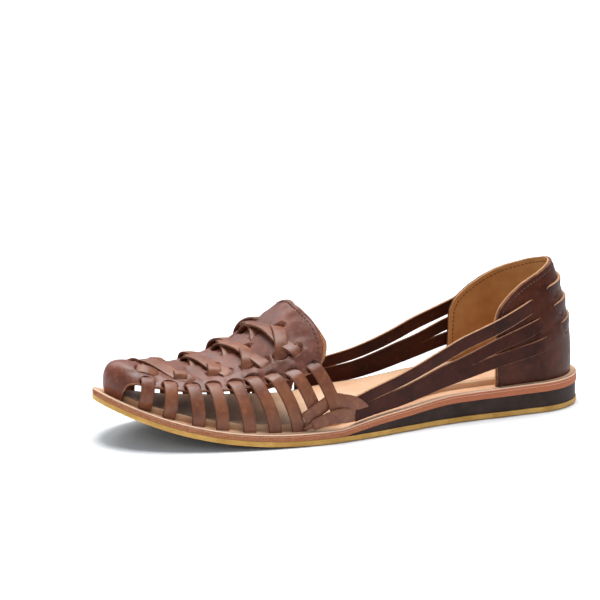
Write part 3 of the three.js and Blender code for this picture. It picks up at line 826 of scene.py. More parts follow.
@dataclass(frozen=True)
class Rubber:
    """Sole rubber with a fine sanded grain."""

    name: str
    first: str
    second: str
    roughness: float = 0.6
    glow: float = 0.0
    gloss: float = 0.4

    def build(self) -> bpy.types.Material:
        """Make the material."""
        g = Graph(self.name)
        patches = g.noise(12, 3, 0.6)
        sanded = g.noise(0.35, 2, 0.6)
        tone = g.mix(g.remap(patches, 0.35, 0.65), linear(self.first), linear(self.second))
        tone = g.mix(g.remap(sanded, 0.35, 0.65, 0, 0.16), tone, linear(self.first))
        normal = g.bump(sanded, 0.05, 0.5)
        return g.finish(Base_Color=tone, Roughness=self.roughness, Normal=normal,
                        Specular_IOR_Level=self.gloss, Subsurface_Weight=self.glow,
                        Subsurface_Radius=(0.004, 0.002, 0.0008), Subsurface_Scale=0.4)


@dataclass(frozen=True)
class WaxedThread:
    """Waxed sewing thread with its twist."""

    name: str
    colour: str
    dark: str

    def build(self) -> bpy.types.Material:
        """Make the material."""
        g = Graph(self.name)
        twist = g.nodes.new("ShaderNodeTexWave")
        twist.bands_direction = "DIAGONAL"
        g.put(twist.inputs["Vector"], g.place)
        twist.inputs["Scale"].default_value = 1300
        tone = g.mix(twist.outputs["Fac"], linear(self.dark), linear(self.colour))
        return g.finish(Base_Color=tone, Roughness=0.6, Normal=g.bump(twist.outputs["Fac"], 0.05, 0.6))


def finish(maker: Callable[..., Any], *tones: Any, **options: Any) -> Any:
    """A field that holds a finish, built when the wardrobe is made.

    Args:
        maker: the kind of finish.
        tones: its name and colours.
        options: its other sizes and strengths.

    Returns:
        The dataclass field.
    """
    return field(default_factory=lambda: maker(*tones, **options).build())


@dataclass
class Wardrobe:
    """Every finish of the sandal, made once and shared by its pieces."""

    vamp: bpy.types.Material = finish(
        PullUpLeather, "vamp leather", "55291b", "783f2b", "9a6046", "ad7553")
    strap: bpy.types.Material = finish(
        PullUpLeather, "strap leather", "653420", "885134", "a66c4a", "bd8459")
    quarter: bpy.types.Material = finish(
        PullUpLeather, "quarter leather", "2c0f07", "451b0f", "5a2c1b", "93664a", roughness=0.45,
        gloss=0.16, coat=0.0)
    counter: bpy.types.Material = finish(
        PullUpLeather, "counter leather", "38150b", "522616", "6b3822", "a0704f", roughness=0.45,
        gloss=0.18, coat=0.0)
    strap_edge: bpy.types.Material = finish(
        CutEdge, "strap edge", "5c3322", "7e5038", "3c2015")
    quarter_edge: bpy.types.Material = finish(
        CutEdge, "quarter edge", "c29674", "a07252", "664229")
    counter_edge: bpy.types.Material = finish(
        CutEdge, "counter edge", "7c4c34", "5c3525", "3a1f16")
    raw_back: bpy.types.Material = finish(
        CutEdge, "raw back", "50382c", "3e2b22", "2c1d17", fibre=0.8, roughness=0.85)
    lining: bpy.types.Material = finish(
        NaturalLeather, "lining leather", "c5935a", "b07a42", "93562b", roughness=0.5)
    lining_edge: bpy.types.Material = finish(
        CutEdge, "lining edge", "d8a672", "c08a58", "8f5c36")
    tab_rim: bpy.types.Material = finish(
        CutEdge, "tab rim", "b58258", "94613f", "6b4029", fibre=0.8)
    footbed: bpy.types.Material = finish(
        NaturalLeather, "footbed leather", "d9b08c", "cf9f78", "b98660", roughness=0.5, stain_share=0.2)
    midsole: bpy.types.Material = finish(
        NaturalLeather, "midsole leather", "d8aa84", "cb9a74", "b07a54", roughness=0.6, stain_share=0.3)
    # The line colour is a painted highlight along the midsole's top bevel and its groove.
    midsole_edge: bpy.types.Material = finish(
        CutEdge, "midsole edge", "99593a", "b87c56", "774029", fibre=0.7, layer=0.5, line="eccdb0",
        heel="b8694a")
    outsole: bpy.types.Material = finish(
        Rubber, "gum rubber", "b98a3e", "d6a656", glow=0.15)
    # Painted shade: the underside and ribs are darker and greyer than the gum so that little warm light
    # bounces into the shadow under the toe.
    tread: bpy.types.Material = finish(
        Rubber, "darkened underside rubber", "5c5042", "7a6b57", roughness=0.7)
    wedge: bpy.types.Material = finish(
        Rubber, "dark wedge rubber", "2a1d19", "3d2c26", roughness=0.6, gloss=0.2)
    thread: bpy.types.Material = finish(
        WaxedThread, "brown thread", "64402e", "2a150d")
    tan_thread: bpy.types.Material = finish(
        WaxedThread, "tan thread", "8a5527", "5a3013")


# ------------------------------------------------------------------ geometry nodes
class NodeTree:
    """A geometry node tree built in the script, with named inputs."""

    def __init__(self, name: str) -> None:
        """Start the tree with its geometry input and output."""
        self.tree = bpy.data.node_groups.new(name, "GeometryNodeTree")
        self.tree.interface.new_socket("Geometry", in_out="INPUT", socket_type="NodeSocketGeometry")
        self.tree.interface.new_socket("Geometry", in_out="OUTPUT", socket_type="NodeSocketGeometry")
        self.source = self.tree.nodes.new("NodeGroupInput")
        self.sink = self.tree.nodes.new("NodeGroupOutput")

    def size(self, name: str, value: float) -> bpy.types.NodeSocket:
        """Add a named size in metres with its usual value, and give its socket in the tree."""
        socket = self.tree.interface.new_socket(name, in_out="INPUT", socket_type="NodeSocketFloat")
        socket.default_value = value
        return self.source.outputs[name]

    def node(self, kind: str, links: dict[str, Any], **settings: Any) -> bpy.types.Node:
        """Add a node.

        Args:
            kind: its type.
            links: sockets or values for its inputs, by name or by number.
            settings: properties of the node itself.

        Returns:
            The node.
        """
        node = self.tree.nodes.new(kind)
        for name, value in settings.items():
            setattr(node, name, value)
        for name, value in links.items():
            socket = node.inputs[name]
            if isinstance(value, bpy.types.NodeSocket):
                self.tree.links.new(value, socket)
            else:
                socket.default_value = value
        return node

    def bake(self, source: bpy.types.Object, name: str, sizes: dict[str, float],
             material: bpy.types.Material) -> bpy.types.Object:
        """Run the tree on an object and keep the result as a plain mesh.

        Args:
            source: the object that the tree works on; it is removed.
            name: the new piece's name.
            sizes: values for the tree's named inputs, in metres.
            material: what the piece is dressed in.

        Returns:
            The finished piece, with no modifier.
        """
        modifier = source.modifiers.new(name, "NODES")
        modifier.node_group = self.tree
        known = {item.name: item.identifier for item in self.tree.interface.items_tree
                 if item.in_out == "INPUT"}
        for label, value in sizes.items():
            modifier[known[label]] = value
        bpy.context.view_layer.update()
        evaluated = source.evaluated_get(bpy.context.evaluated_depsgraph_get())
        mesh = bpy.data.meshes.new_from_object(evaluated)
        mesh.name = name
        mesh.materials.clear()
        mesh.materials.append(material)
        mesh.polygons.foreach_set("material_index", [0] * len(mesh.polygons))
        mesh.polygons.foreach_set("use_smooth", [True] * len(mesh.polygons))
        bpy.data.objects.remove(source)
        piece = bpy.data.objects.new(name, mesh)
        bpy.context.scene.collection.objects.link(piece)
        return piece


def path_object(points: np.ndarray, outward: np.ndarray, name: str) -> bpy.types.Object:
    """A line of edges with an outward direction at each point, in millimetres."""
    mesh = bpy.data.meshes.new(name)
    edges = [(k, k + 1) for k in range(len(points) - 1)]
    mesh.from_pydata((points * MM).tolist(), edges, [])
    direction = mesh.attributes.new("outward", "FLOAT_VECTOR", "POINT")
    direction.data.foreach_set("vector", outward.astype(np.float32).ravel())
    line = bpy.data.objects.new(name, mesh)
    bpy.context.scene.collection.objects.link(line)
    return line


@dataclass
class StitchLine:
    """A row of stitches along a path, made by geometry nodes."""

    pitch: float = 2.5
    length: float = 2.0
    width: float = 0.62
    rise: float = 0.42

    def tree(self, material: bpy.types.Material) -> NodeTree:
        """Build the tree: the path is resampled, and a thread loop is set on every point."""
        made = NodeTree("stitches")
        pitch = made.size("Pitch", self.pitch * MM)
        length = made.size("Stitch length", self.length * MM)
        width = made.size("Thread width", self.width * MM)
        rise = made.size("Thread rise", self.rise * MM)
        curve = made.node("GeometryNodeMeshToCurve", {"Mesh": made.source.outputs["Geometry"]})
        even = made.node("GeometryNodeResampleCurve", {"Curve": curve.outputs[0], "Length": pitch},
                         mode="LENGTH")
        loop = made.node("GeometryNodeMeshUVSphere", {"Segments": 8, "Rings": 6, "Radius": 0.5})
        size = made.node("ShaderNodeCombineXYZ", {"X": length, "Y": width, "Z": rise})
        thread = made.node("GeometryNodeTransform", {"Geometry": loop.outputs["Mesh"],
                                                     "Scale": size.outputs[0]})
        tangent = made.node("GeometryNodeInputTangent", {})
        outward = made.node("GeometryNodeInputNamedAttribute", {"Name": "outward"},
                            data_type="FLOAT_VECTOR")
        along = made.node("FunctionNodeAlignRotationToVector", {"Vector": tangent.outputs[0]},
                          axis="X")
        turned = made.node("FunctionNodeAlignRotationToVector",
                           {"Rotation": along.outputs[0], "Vector": outward.outputs[0]},
                           axis="Z", pivot_axis="X")
        copies = made.node("GeometryNodeInstanceOnPoints",
                           {"Points": even.outputs[0], "Instance": thread.outputs[0],
                            "Rotation": turned.outputs[0]})
        real = made.node("GeometryNodeRealizeInstances", {"Geometry": copies.outputs[0]})
        dressed = made.node("GeometryNodeSetMaterial", {"Geometry": real.outputs[0],
                                                        "Material": material})
        made.tree.links.new(dressed.outputs[0], made.sink.inputs[0])
        return made

    def sew(self, name: str, points: np.ndarray, outward: np.ndarray,
            material: bpy.types.Material) -> bpy.types.Object:
        """Sew one row.

        Args:
            name: the piece's name.
            points: the path in millimetres.
            outward: the leather's outward direction at each point.
            material: the thread.

        Returns:
            The row of stitches as one mesh.
        """
        sizes = {"Pitch": self.pitch, "Stitch length": self.length, "Thread width": self.width,
                 "Thread rise": self.rise}
        source = path_object(points, outward, name + "_path")
        return self.tree(material).bake(source, name, {k: v * MM for k, v in sizes.items()}, material)


def outward_on(surface: Surface, first: np.ndarray, second: np.ndarray) -> np.ndarray:
    """Outward directions of a surface."""
    zero = np.zeros_like(first)
    return unit(surface(first, second, zero + 0.5) - surface(first, second, zero - 0.5))


def report(piece: bpy.types.Object, slot: str, *nodes: str) -> bpy.types.Object:
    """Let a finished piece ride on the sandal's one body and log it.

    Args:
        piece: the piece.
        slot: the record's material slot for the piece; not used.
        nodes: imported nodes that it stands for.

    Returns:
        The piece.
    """
    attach(piece, "root")
    if nodes:
        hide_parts(*nodes)
    LOG.info("%s: %d faces", piece.name, len(piece.data.polygons))
    return piece


# ------------------------------------------------------------------ sole
@dataclass(frozen=True)
class RimStep:
    """One ring of a slab's rim: its inset, its level from 0 below to 1 above, and a drop."""

    inset: float
    level: float
    drop: float = 0.0


@dataclass
class SoleSlab:
    """One layer of the sole, drawn from the last's plan outline."""

    name: str
    slot: str
    inset: float
    bottom: Callable[[np.ndarray], np.ndarray]
    top: Callable[[np.ndarray], np.ndarray]
    end: float = LAST.length
    round_top: float = 0.6
    round_bottom: float = 0.3
    grooves: tuple[float, ...] = ()
    turn: tuple[float, ...] = (0, 22, 45, 68, 90)
    stations: int = 200
    columns: int = 26

    def rim(self) -> list[RimStep]:
        """Rings from the edge of the upper face round the rim to the edge of the lower face."""
        turn = np.radians(self.turn)
        top = [RimStep(self.round_top * (1 - math.sin(a)), 1, self.round_top * (1 - math.cos(a)))
               for a in turn]
        side = []
        for level in self.grooves:
            side += [RimStep(0, level + 0.06), RimStep(0.22, level), RimStep(0, level - 0.06)]
        below = [RimStep(self.round_bottom * (1 - math.cos(a)), 0,
                         -self.round_bottom * (1 - math.sin(a))) for a in turn]
        return top + side + below

    def ring(self, step: RimStep) -> np.ndarray:
        """Points of one ring: along the lateral side to the toe and back on the medial side."""
        inset = self.inset + step.inset
        share = 0.5 - 0.5 * np.cos(np.linspace(0, np.pi, self.stations))
        at = inset + (self.end - self.inset - step.inset - inset) * share
        if self.end < LAST.length:
            at = inset + (self.end - inset) * (1 - np.cos(share * np.pi / 2))
        half = LAST.plan_half(at, inset)
        z = self.bottom(at) + (self.top(at) - self.bottom(at)) * step.level - step.drop
        x = LAST.heel_x - at
        centre = LAST.centre(at) + Y_SHIFT
        lateral = np.stack([x, centre - half, z], -1)
        medial = np.stack([x, centre + half, z], -1)
        back = medial[::-1] if self.end < LAST.length else medial[-2::-1]
        return np.concatenate([lateral, back[:-1]])

    def cap(self, ring: np.ndarray) -> tuple[np.ndarray, list]:
        """Rows of points across the slab between the two sides of a ring, and their faces.

        Args:
            ring: the points of the rim's first or last ring.

        Returns:
            The added points, and faces that count the ring's points first and then the added ones.
        """
        n = self.stations
        blunt = self.end < LAST.length
        size = len(ring)
        last = n - 1 if blunt else n - 2
        share = np.linspace(0, 1, self.columns + 1)[1:-1]
        inner = []
        index = []
        for k in range(1, last + 1):
            a, b = ring[k], ring[size - k]
            start = size + len(inner) * len(share)
            inner.append(a + (b - a) * share[:, None])
            index.append([k, *range(start, start + len(share)), size - k])
        index = np.array(index)
        faces = grid_faces(index)
        faces += [(0, index[0, j + 1], index[0, j]) for j in range(self.columns)]
        if not blunt:
            faces += [(n - 1, index[-1, j], index[-1, j + 1]) for j in range(self.columns)]
        return np.concatenate(inner), [tuple(int(v) for v in face) for face in faces]

    def build(self, top: bpy.types.Material, edge: bpy.types.Material,
              below: bpy.types.Material) -> bpy.types.Object:
        """Make the slab.

        Args:
            top: finish of the upper face.
            edge: finish of the rim.
            below: finish of the lower face.

        Returns:
            The piece.
        """
        rings = [self.ring(step) for step in self.rim()]
        size = len(rings[0])
        draft = MeshDraft()
        faces = ring_faces(len(rings), size)
        slots = [1] * len(faces)
        points = [np.concatenate(rings)]
        count = len(rings) * size
        for ring, start, slot in ((rings[0], 0, 0), (rings[-1], (len(rings) - 1) * size, 2)):
            inner, cap = self.cap(ring)
            cap = [tuple(v + start if v < size else v - size + count for v in face) for face in cap]
            faces += cap if slot == 2 else [face[::-1] for face in cap]
            slots += [slot] * len(cap)
            points.append(inner)
            count += len(inner)
        # The top bevel's rings and the groove's middle ring are set to 1: on the midsole edge they take a
        # painted highlight line.
        wear_and_painted_light = np.zeros(count)
        wear_and_painted_light[:(len(self.turn) - 1) * size] = 1
        for k in range(len(self.grooves)):
            row = len(self.turn) + 3 * k + 1  # the middle one of the groove's three rings
            wear_and_painted_light[row * size:(row + 1) * size] = 1
        draft.add(np.concatenate(points), faces, slots, wear_and_painted_light)
        return draft.build(self.name, [top, edge, below])


@dataclass
class TreadRibs:
    """Fine ribs across the sole's underside, made by geometry nodes."""

    pitch: float = 4.2
    width: float = 2.4
    depth: float = 0.4
    margin: float = 5.0
    start: float = 10.0
    end: float = 250.0

    def tree(self, material: bpy.types.Material) -> NodeTree:
        """Build the tree: a rounded bar on every point, as long as the sole is wide there."""
        made = NodeTree("tread ribs")
        width = made.size("Rib width", self.width * MM)
        depth = made.size("Rib depth", self.depth * MM)
        bar = made.node("GeometryNodeMeshCylinder", {"Vertices": 8, "Radius": 0.5, "Depth": 1.0})
        laid = made.node("GeometryNodeTransform",
                         {"Geometry": bar.outputs["Mesh"], "Rotation": (math.pi / 2, 0, 0)})
        across = made.node("GeometryNodeInputNamedAttribute", {"Name": "outward"},
                           data_type="FLOAT_VECTOR")
        parts = made.node("ShaderNodeSeparateXYZ", {"Vector": across.outputs[0]})
        size = made.node("ShaderNodeCombineXYZ", {"X": width, "Y": parts.outputs["Y"], "Z": depth})
        points = made.node("GeometryNodeMeshToPoints", {"Mesh": made.source.outputs["Geometry"]})
        copies = made.node("GeometryNodeInstanceOnPoints",
                           {"Points": points.outputs[0], "Instance": laid.outputs[0],
                            "Scale": size.outputs[0]})
        real = made.node("GeometryNodeRealizeInstances", {"Geometry": copies.outputs[0]})
        dressed = made.node("GeometryNodeSetMaterial", {"Geometry": real.outputs[0],
                                                        "Material": material})
        made.tree.links.new(dressed.outputs[0], made.sink.inputs[0])
        return made

    def build(self, material: bpy.types.Material) -> bpy.types.Object:
        """Make the ribs under the outsole as one piece."""
        at = np.arange(self.start, self.end, self.pitch)
        half = LAST.plan_half(at, self.margin)
        z = LAST.outsole_bottom(at) + self.depth
        points = np.stack([LAST.heel_x - at, LAST.centre(at) + Y_SHIFT, z], -1)
        across = np.stack([np.zeros_like(at), 2 * half * MM, np.zeros_like(at)], -1)
        source = path_object(points, across, "tread_path")
        sizes = {"Rib width": self.width * MM, "Rib depth": self.depth * MM * 2}
        piece = self.tree(material).bake(source, "tread_ribs", sizes, material)
        return piece


@dataclass
class Sole:
    """Outsole, heel wedge, midsole and footbed."""

    wardrobe: Wardrobe
    tread: float = 0.35
    insole_inset: float = 9.2
    insole_thickness: float = 3.0
    wedge_end: float = 148.0

    def build(self) -> None:
        """Make the layers from the floor up."""
        w = self.wardrobe
        outsole = SoleSlab("outsole_rubber", "outsole", 0.0,
                           lambda at: LAST.outsole_bottom(at) + self.tread, LAST.wedge_bottom,
                           round_top=0.25, round_bottom=0.5)
        report(outsole.build(w.outsole, w.outsole, w.tread), "outsole", "outsole")
        report(TreadRibs(depth=self.tread).build(w.tread), "outsole")
        wedge = SoleSlab("heel_wedge_layer", "wedge", 0.5, lambda at: LAST.wedge_bottom(at) - 0.02,
                         lambda at: LAST.midsole_bottom(at) + 0.02, end=self.wedge_end,
                         round_top=0.12, round_bottom=0.12)
        report(wedge.build(w.wedge, w.wedge, w.wedge), "wedge", "heel_wedge")
        midsole = SoleSlab("midsole_board", "midsole", 0.0, LAST.midsole_bottom, LAST.midsole_top,
                           round_top=0.7, round_bottom=0.45, grooves=(0.62,))
        report(midsole.build(w.midsole, w.midsole_edge, w.midsole), "midsole", "midsole")
        insole = SoleSlab("footbed", "insole", self.insole_inset, lambda at: LAST.midsole_top(at) - 0.1,
                          lambda at: LAST.midsole_top(at) + LAST.gap + self.insole_thickness,
                          round_top=1.0, round_bottom=0.1)
        report(insole.build(w.footbed, w.footbed, w.footbed), "insole", "insole")


# ------------------------------------------------------------------ vamp
@dataclass(frozen=True)
class Crease:
    """A soft fold in the vamp, from one (station, angle) to another; depth is minus for a ridge."""

    start: tuple[float, float]
    end: tuple[float, float]
    width: float
    depth: float

    def lift(self, points: np.ndarray) -> np.ndarray:
        """How far the fold moves each point of the face."""
        ends = [LAST.vamp(np.array(at), np.array(angle), np.array(0.0)) for at, angle in
                (self.start, self.end)]
        run = ends[1] - ends[0]
        share = np.clip((points - ends[0]) @ run / float(run @ run), 0, 1)
        gone = np.linalg.norm(points - ends[0] - share[:, None] * run, axis=1)
        fade = np.sin(np.pi * np.clip(share, 0.04, 0.96)) ** 0.5
        return -self.depth * np.exp(-((gone / self.width) ** 2)) * fade


@dataclass(frozen=True)
class SideStrap:
    """A strap from a slot in the vamp down to the sole."""

    slot_at: float
    slot_angle: float
    foot_at: float
    end_angle: float = 95.0
    end_lift: float = -0.7


@dataclass(frozen=True)
class Crossing:
    """A pair of straps that cross on the instep, each held by a keeper."""

    slot_at: float
    slot_angle: float
    bend_at: float
    bend_angle: float
    ridge_at: float
    keeper_top: float
    keeper_foot: float
    keeper_at: float
    keeper_foot_at: float


@dataclass
class Vamp:
    """The panel over the forefoot, its tab, and the straps woven through it."""

    wardrobe: Wardrobe
    thickness: float = 1.9
    pitch: float = 0.62
    slot_depth: float = 1.7
    bulge: float = 0.75
    edge_radius: float = 0.6
    groove_from_edge: float = 2.2
    cut: StrapCut = field(default_factory=StrapCut)
    tab_start: float = 155.0
    tab_end: float = 178.0
    toe_round: float = 18.0
    medial_drop: Profile = profile(
        (178, 0), (192, 6), (240, 6), (250, 0))
    slant: Profile = profile(
        (0, 4.2), (9, 4.6), (21, 3.8), (29, 2.8), (36, 1.9), (43, 1.4), (48, 1.0), (60, 0.9))
    rim_reach: Profile = profile(
        (0, 0.4), (25, 0.5), (36, 1.1), (43, 1.9), (48, 2.4), (62, 2.4))
    border: Profile = profile(
        (155, 49), (156.5, 54.5), (159, 59), (164, 61.3), (172, 60), (188, 54), (200, 50.5),
        (215, 48.5), (228, 49.5), (238, 52), (246, 55.5), (250, 60), (252.5, 74), (254, 93))
    side_straps: tuple[SideStrap, ...] = (
        SideStrap(241, 37, 245), SideStrap(231, 36, 235), SideStrap(221, 37, 222),
        SideStrap(211, 37, 211), SideStrap(201, 40, 198), SideStrap(193, 41, 185),
        SideStrap(184, 47, 173), SideStrap(174.5, 52, 162, 86, -0.4), SideStrap(164, 55, 152, 85, 2.7))
    crossings: tuple[Crossing, ...] = (
        Crossing(168, 46, 174, 29, 177, 13, 43, 171, 177),
        Crossing(183, 41, 188, 22, 191, 10, 35, 187, 192),
        Crossing(200, 34, 205.5, 20, 208, 12, 31, 204, 208),
        Crossing(219, 35, 226, 25, 233, 17, 33, 222.5, 225))
    creases: tuple[Crease, ...] = (
        Crease((157, -8), (168, -2), 3.2, 0.5), Crease((158, -22), (169, -14), 3.0, 0.45),
        Crease((160, -38), (170, -33), 2.6, 0.4), Crease((160, 12), (170, 6), 3.0, 0.5),
        Crease((158, 30), (170, 24), 3.0, 0.45), Crease((236, -34), (250, -30), 3.0, 0.35),
        Crease((238, 20), (250, 16), 3.0, 0.3), Crease((182, -44), (194, -39), 3.5, -0.4),
        Crease((199, -42), (214, -41), 3.5, -0.35))

    def side_rows(self, side: Side, strap: SideStrap) -> Rows:
        """Rows of one side strap: out of its slot, over the border and down to the sole."""
        border = float(self.border(strap.slot_at))
        wide = self.cut.width

        def row(angle: float, lift: float) -> tuple[float, float, float, float]:
            share = min(max((angle - strap.slot_angle) / (90 - strap.slot_angle), 0), 1)
            at = strap.slot_at + (strap.foot_at - strap.slot_at) * share
            return at, side.value * angle, lift, wide

        top = strap.slot_angle
        rows = [row(top - 3.5, BURIED), row(top, IN_SLOT), row(top + 3, -0.3), row(top + 6, 0.55),
                row(max(border, top + 8) + 1.5, 0.85)]
        if strap.end_angle > 90:
            return rows + [row((border + 90) / 2 + 4, 0.2), row(86, -0.5),
                           row(strap.end_angle, strap.end_lift)]
        low = (border + strap.end_angle) / 2 + 3
        return rows + [row(low, (0.8 + strap.end_lift) / 2), row(strap.end_angle, strap.end_lift)]

    def arm_rows(self, side: Side, c: Crossing) -> Rows:
        """Rows of one crossing arm: from its slot up to the ridge, over or under its twin."""
        over = self.cut.thickness if side is Side.LATERAL else 0.0
        reach = 14 if side is Side.LATERAL else 9
        s, wide, rest = side.value, self.cut.width, 0.75
        middle = c.bend_at + (c.ridge_at - c.bend_at) * 0.6
        return [(c.slot_at - 1.2, s * (c.slot_angle + 3), BURIED, wide),
                (c.slot_at, s * c.slot_angle, IN_SLOT, wide),
                (c.slot_at + 1.8, s * (c.slot_angle - 4.5), 0.1, wide),
                (c.bend_at, s * c.bend_angle, rest, wide * 1.04),
                (middle, s * c.bend_angle * 0.42, rest + over * 0.6, wide * 1.12),
                (c.ridge_at + 0.5, s * 1.5, rest + over, wide * 1.08),
                (c.ridge_at + 2, -s * (reach - 5), rest * 0.6 + over * 0.5, wide),
                (c.ridge_at + 3.2, -s * reach, IN_SLOT, wide),
                (c.ridge_at + 4, -s * (reach + 3), BURIED, wide)]

    def keeper_rows(self, side: Side, c: Crossing) -> Rows:
        """Rows of one keeper, out of a slot, over the arm and into another slot."""
        span = c.keeper_foot - c.keeper_top
        wide = self.cut.width * 0.98
        marks = ((-0.12, BURIED), (0.0, IN_SLOT), (0.12, 0.0), (0.28, 1.3), (0.5, 2.15), (0.68, 2.25),
                 (0.82, 1.4), (0.92, -0.1), (1.0, IN_SLOT), (1.1, BURIED))
        return [(c.keeper_at + (c.keeper_foot_at - c.keeper_at) * share,
                 side.value * (c.keeper_top + span * share), lift, wide) for share, lift in marks]

    def toe_rows(self, side: Side) -> Rows:
        """Rows of the short strap nearest the toe."""
        wide = self.cut.width * 0.9
        marks = ((245.5, 19.5, BURIED), (244, 20, IN_SLOT), (241.8, 21, 0.0), (239, 22.3, 0.55),
                 (236, 23.6, 0.0), (233.8, 24.6, IN_SLOT), (232.4, 25.3, BURIED))
        return [(at, side.value * angle, lift, wide) for at, angle, lift in marks]

    def tucked_ends(self) -> list[Slot]:
        """The slots that every strap end goes through."""
        found = []
        for side in Side:
            for strap in self.side_straps:
                rows = self.side_rows(side, strap)
                found.append(slot_on(LAST.vamp, rows[1][:2], rows[2][:2], self.cut.width))
            ended = [self.toe_rows(side)]
            for c in self.crossings:
                ended += [self.arm_rows(side, c), self.keeper_rows(side, c)]
            for rows in ended:
                found.append(slot_on(LAST.vamp, rows[1][:2], rows[2][:2], self.cut.width, reach=5.5))
                found.append(slot_on(LAST.vamp, rows[-2][:2], rows[-3][:2], self.cut.width, reach=5.5))
        return found

    def stations(self) -> np.ndarray:
        """Stations of the panel's rows, close together at the tab's edge and round the toe."""
        start, round_from = self.tab_start, LAST.vamp_end - self.toe_round
        edge = start + np.array([0, 0.1, 0.25, 0.5, 0.9])
        middle = np.arange(start + 1.4, round_from, self.pitch)
        toe = LAST.vamp_end - self.toe_round * np.linspace(1, 0.02, 52) ** 2.1
        return np.concatenate([edge, middle, toe])

    def slanted(self, at: np.ndarray, angle: np.ndarray) -> np.ndarray:
        """Stations moved by the slant of the tab's rear edge."""
        return at + self.slant(np.abs(angle)) * np.clip(
            (self.tab_end - at) / (self.tab_end - self.tab_start), 0, 1)

    def grid(self) -> tuple[np.ndarray, np.ndarray, np.ndarray]:
        """Stations and angles of the panel's grid, with its points on the last."""
        share = near_edge(100.0, self.pitch)[None, :] / 100
        at = self.stations()[:, None]
        low = -self.border(at)
        angle = low + (self.border(at) + self.medial_drop(at) - low) * share
        at = self.slanted(np.broadcast_to(at, angle.shape), angle)
        return at, angle, LAST.vamp(at, angle, np.zeros_like(angle))

    def panel(self) -> bpy.types.Object:
        """The vamp panel with its slots, bulges, folds and rounded border."""
        at, angle, base = self.grid()
        first, _, left, right = edge_distances(base)
        rim = np.minimum(np.minimum(left, right), first)
        flat = base.reshape(-1, 3)
        sunk, raised = slot_field(self.tucked_ends(), flat)
        folds = sum(crease.lift(flat) for crease in self.creases)
        lift = raised * self.bulge + folds
        lift = lift * (1 - sunk) - self.slot_depth * sunk
        lift = lift.reshape(at.shape)
        sunk = sunk.reshape(at.shape)
        groove = np.exp(-(((rim - self.groove_from_edge) / 0.45) ** 2)) * smooth_step(172, 166, at)
        lift = lift - 0.22 * groove - rounding(rim, self.edge_radius)
        outer = LAST.vamp(at, angle, lift)
        under = lift * 0.6 * (1 - sunk) - self.thickness + 1.6 * rounding(rim, self.edge_radius)
        under = np.minimum(under, lift - 0.25)
        # Rubbed pale along the border; painted shade darkens the slots and lip adds a painted highlight round
        # their rims.
        wear_and_painted_light = smooth_step(1.1, 0.2, rim) - smooth_step(0.15, 0.8, sunk)
        lip = smooth_step(0.02, 0.2, sunk) * smooth_step(0.6, 0.25, sunk)
        draft = MeshDraft()
        SheetIsland(outer, LAST.vamp(at, angle, under), wear_and_painted_light + 1.2 * lip).add_to(draft)
        w = self.wardrobe
        return draft.build("vamp_panel", [w.vamp, w.raw_back, w.strap_edge])

    def tab_lining(self) -> bpy.types.Object:
        """The second layer under the tab, which doubles its edge."""
        edge = self.tab_start + np.array([0, 0.15, 0.4, 0.8])
        at = np.concatenate([edge, np.arange(156.4, 163, 0.8)])[:, None]
        share = near_edge(100.0, 1.0)[None, :] / 50 - 1
        angle = (self.border(at) + 0.3) * share
        place = self.slanted(np.broadcast_to(at, angle.shape), angle)
        place = place - self.rim_reach(np.abs(angle)) * smooth_step(162, 156, at)
        base = LAST.vamp(place, angle, np.zeros_like(angle))
        first, _, left, right = edge_distances(base)
        rim = np.minimum(np.minimum(left, right), first)
        outer = LAST.vamp(place, angle, -self.thickness + 0.25 - rounding(rim, 0.3))
        inner = LAST.vamp(place, angle, -self.thickness - 1.1 + rounding(rim, 0.3))
        draft = MeshDraft()
        SheetIsland(outer, inner, np.zeros(place.shape)).add_to(draft)
        w = self.wardrobe
        return draft.build("tab_lining", [w.tab_rim, w.lining, w.tab_rim])

    def tab_stitches(self) -> bpy.types.Object:
        """The row of stitches just inside the tab's edge."""
        half = [(166, 57.6), (162, 56.8), (159.6, 53.5), (158, 48.5), (157.4, 42), (157.3, 30), (157.3, 15)]
        rows = [(at, -angle, 0.0, 1.0) for at, angle in half] + [(157.3, 0.0, 0.0, 1.0)]
        rows += [(at, angle, 0.0, 1.0) for at, angle in half[::-1]]
        at, angle = StrapRun(LAST.vamp, rows, self.cut).rows_at(np.linspace(0, 1, 240)).T[:2]
        at = self.slanted(at, angle)
        points = LAST.vamp(at, angle, np.full_like(at, 0.02))
        return StitchLine(pitch=2.6, length=2.0, width=0.8, rise=0.6).sew(
            "tab_stitches", points, outward_on(LAST.vamp, at, angle), self.wardrobe.thread)

    def straps(self, name: str, runs: Sequence[Rows]
               ) -> bpy.types.Object:
        """Join straps into one piece.

        Args:
            name: the piece's name.
            runs: the rows of each strap.

        Returns:
            The piece.
        """
        draft = MeshDraft()
        for rows in runs:
            StrapRun(LAST.vamp, rows, self.cut).add_to(draft)
        return draft.build(name, [self.wardrobe.strap, self.wardrobe.strap_edge])

    def build(self) -> None:
        """Make the panel first, then everything woven through it."""
        report(self.panel(), "upper_leather", "upper")
        report(self.tab_lining(), "lining")
        report(self.tab_stitches(), "thread")
        for side in Side:
            label = side.name.lower()
            down = [self.side_rows(side, strap) for strap in self.side_straps]
            report(self.straps(f"side_straps_{label}", down), "upper_leather")
            arms = [self.arm_rows(side, c) for c in self.crossings]
            report(self.straps(f"cross_straps_{label}", arms), "upper_leather")
            keepers = [self.keeper_rows(side, c) for c in self.crossings] + [self.toe_rows(side)]
            report(self.straps(f"keepers_{label}", keepers), "upper_leather")


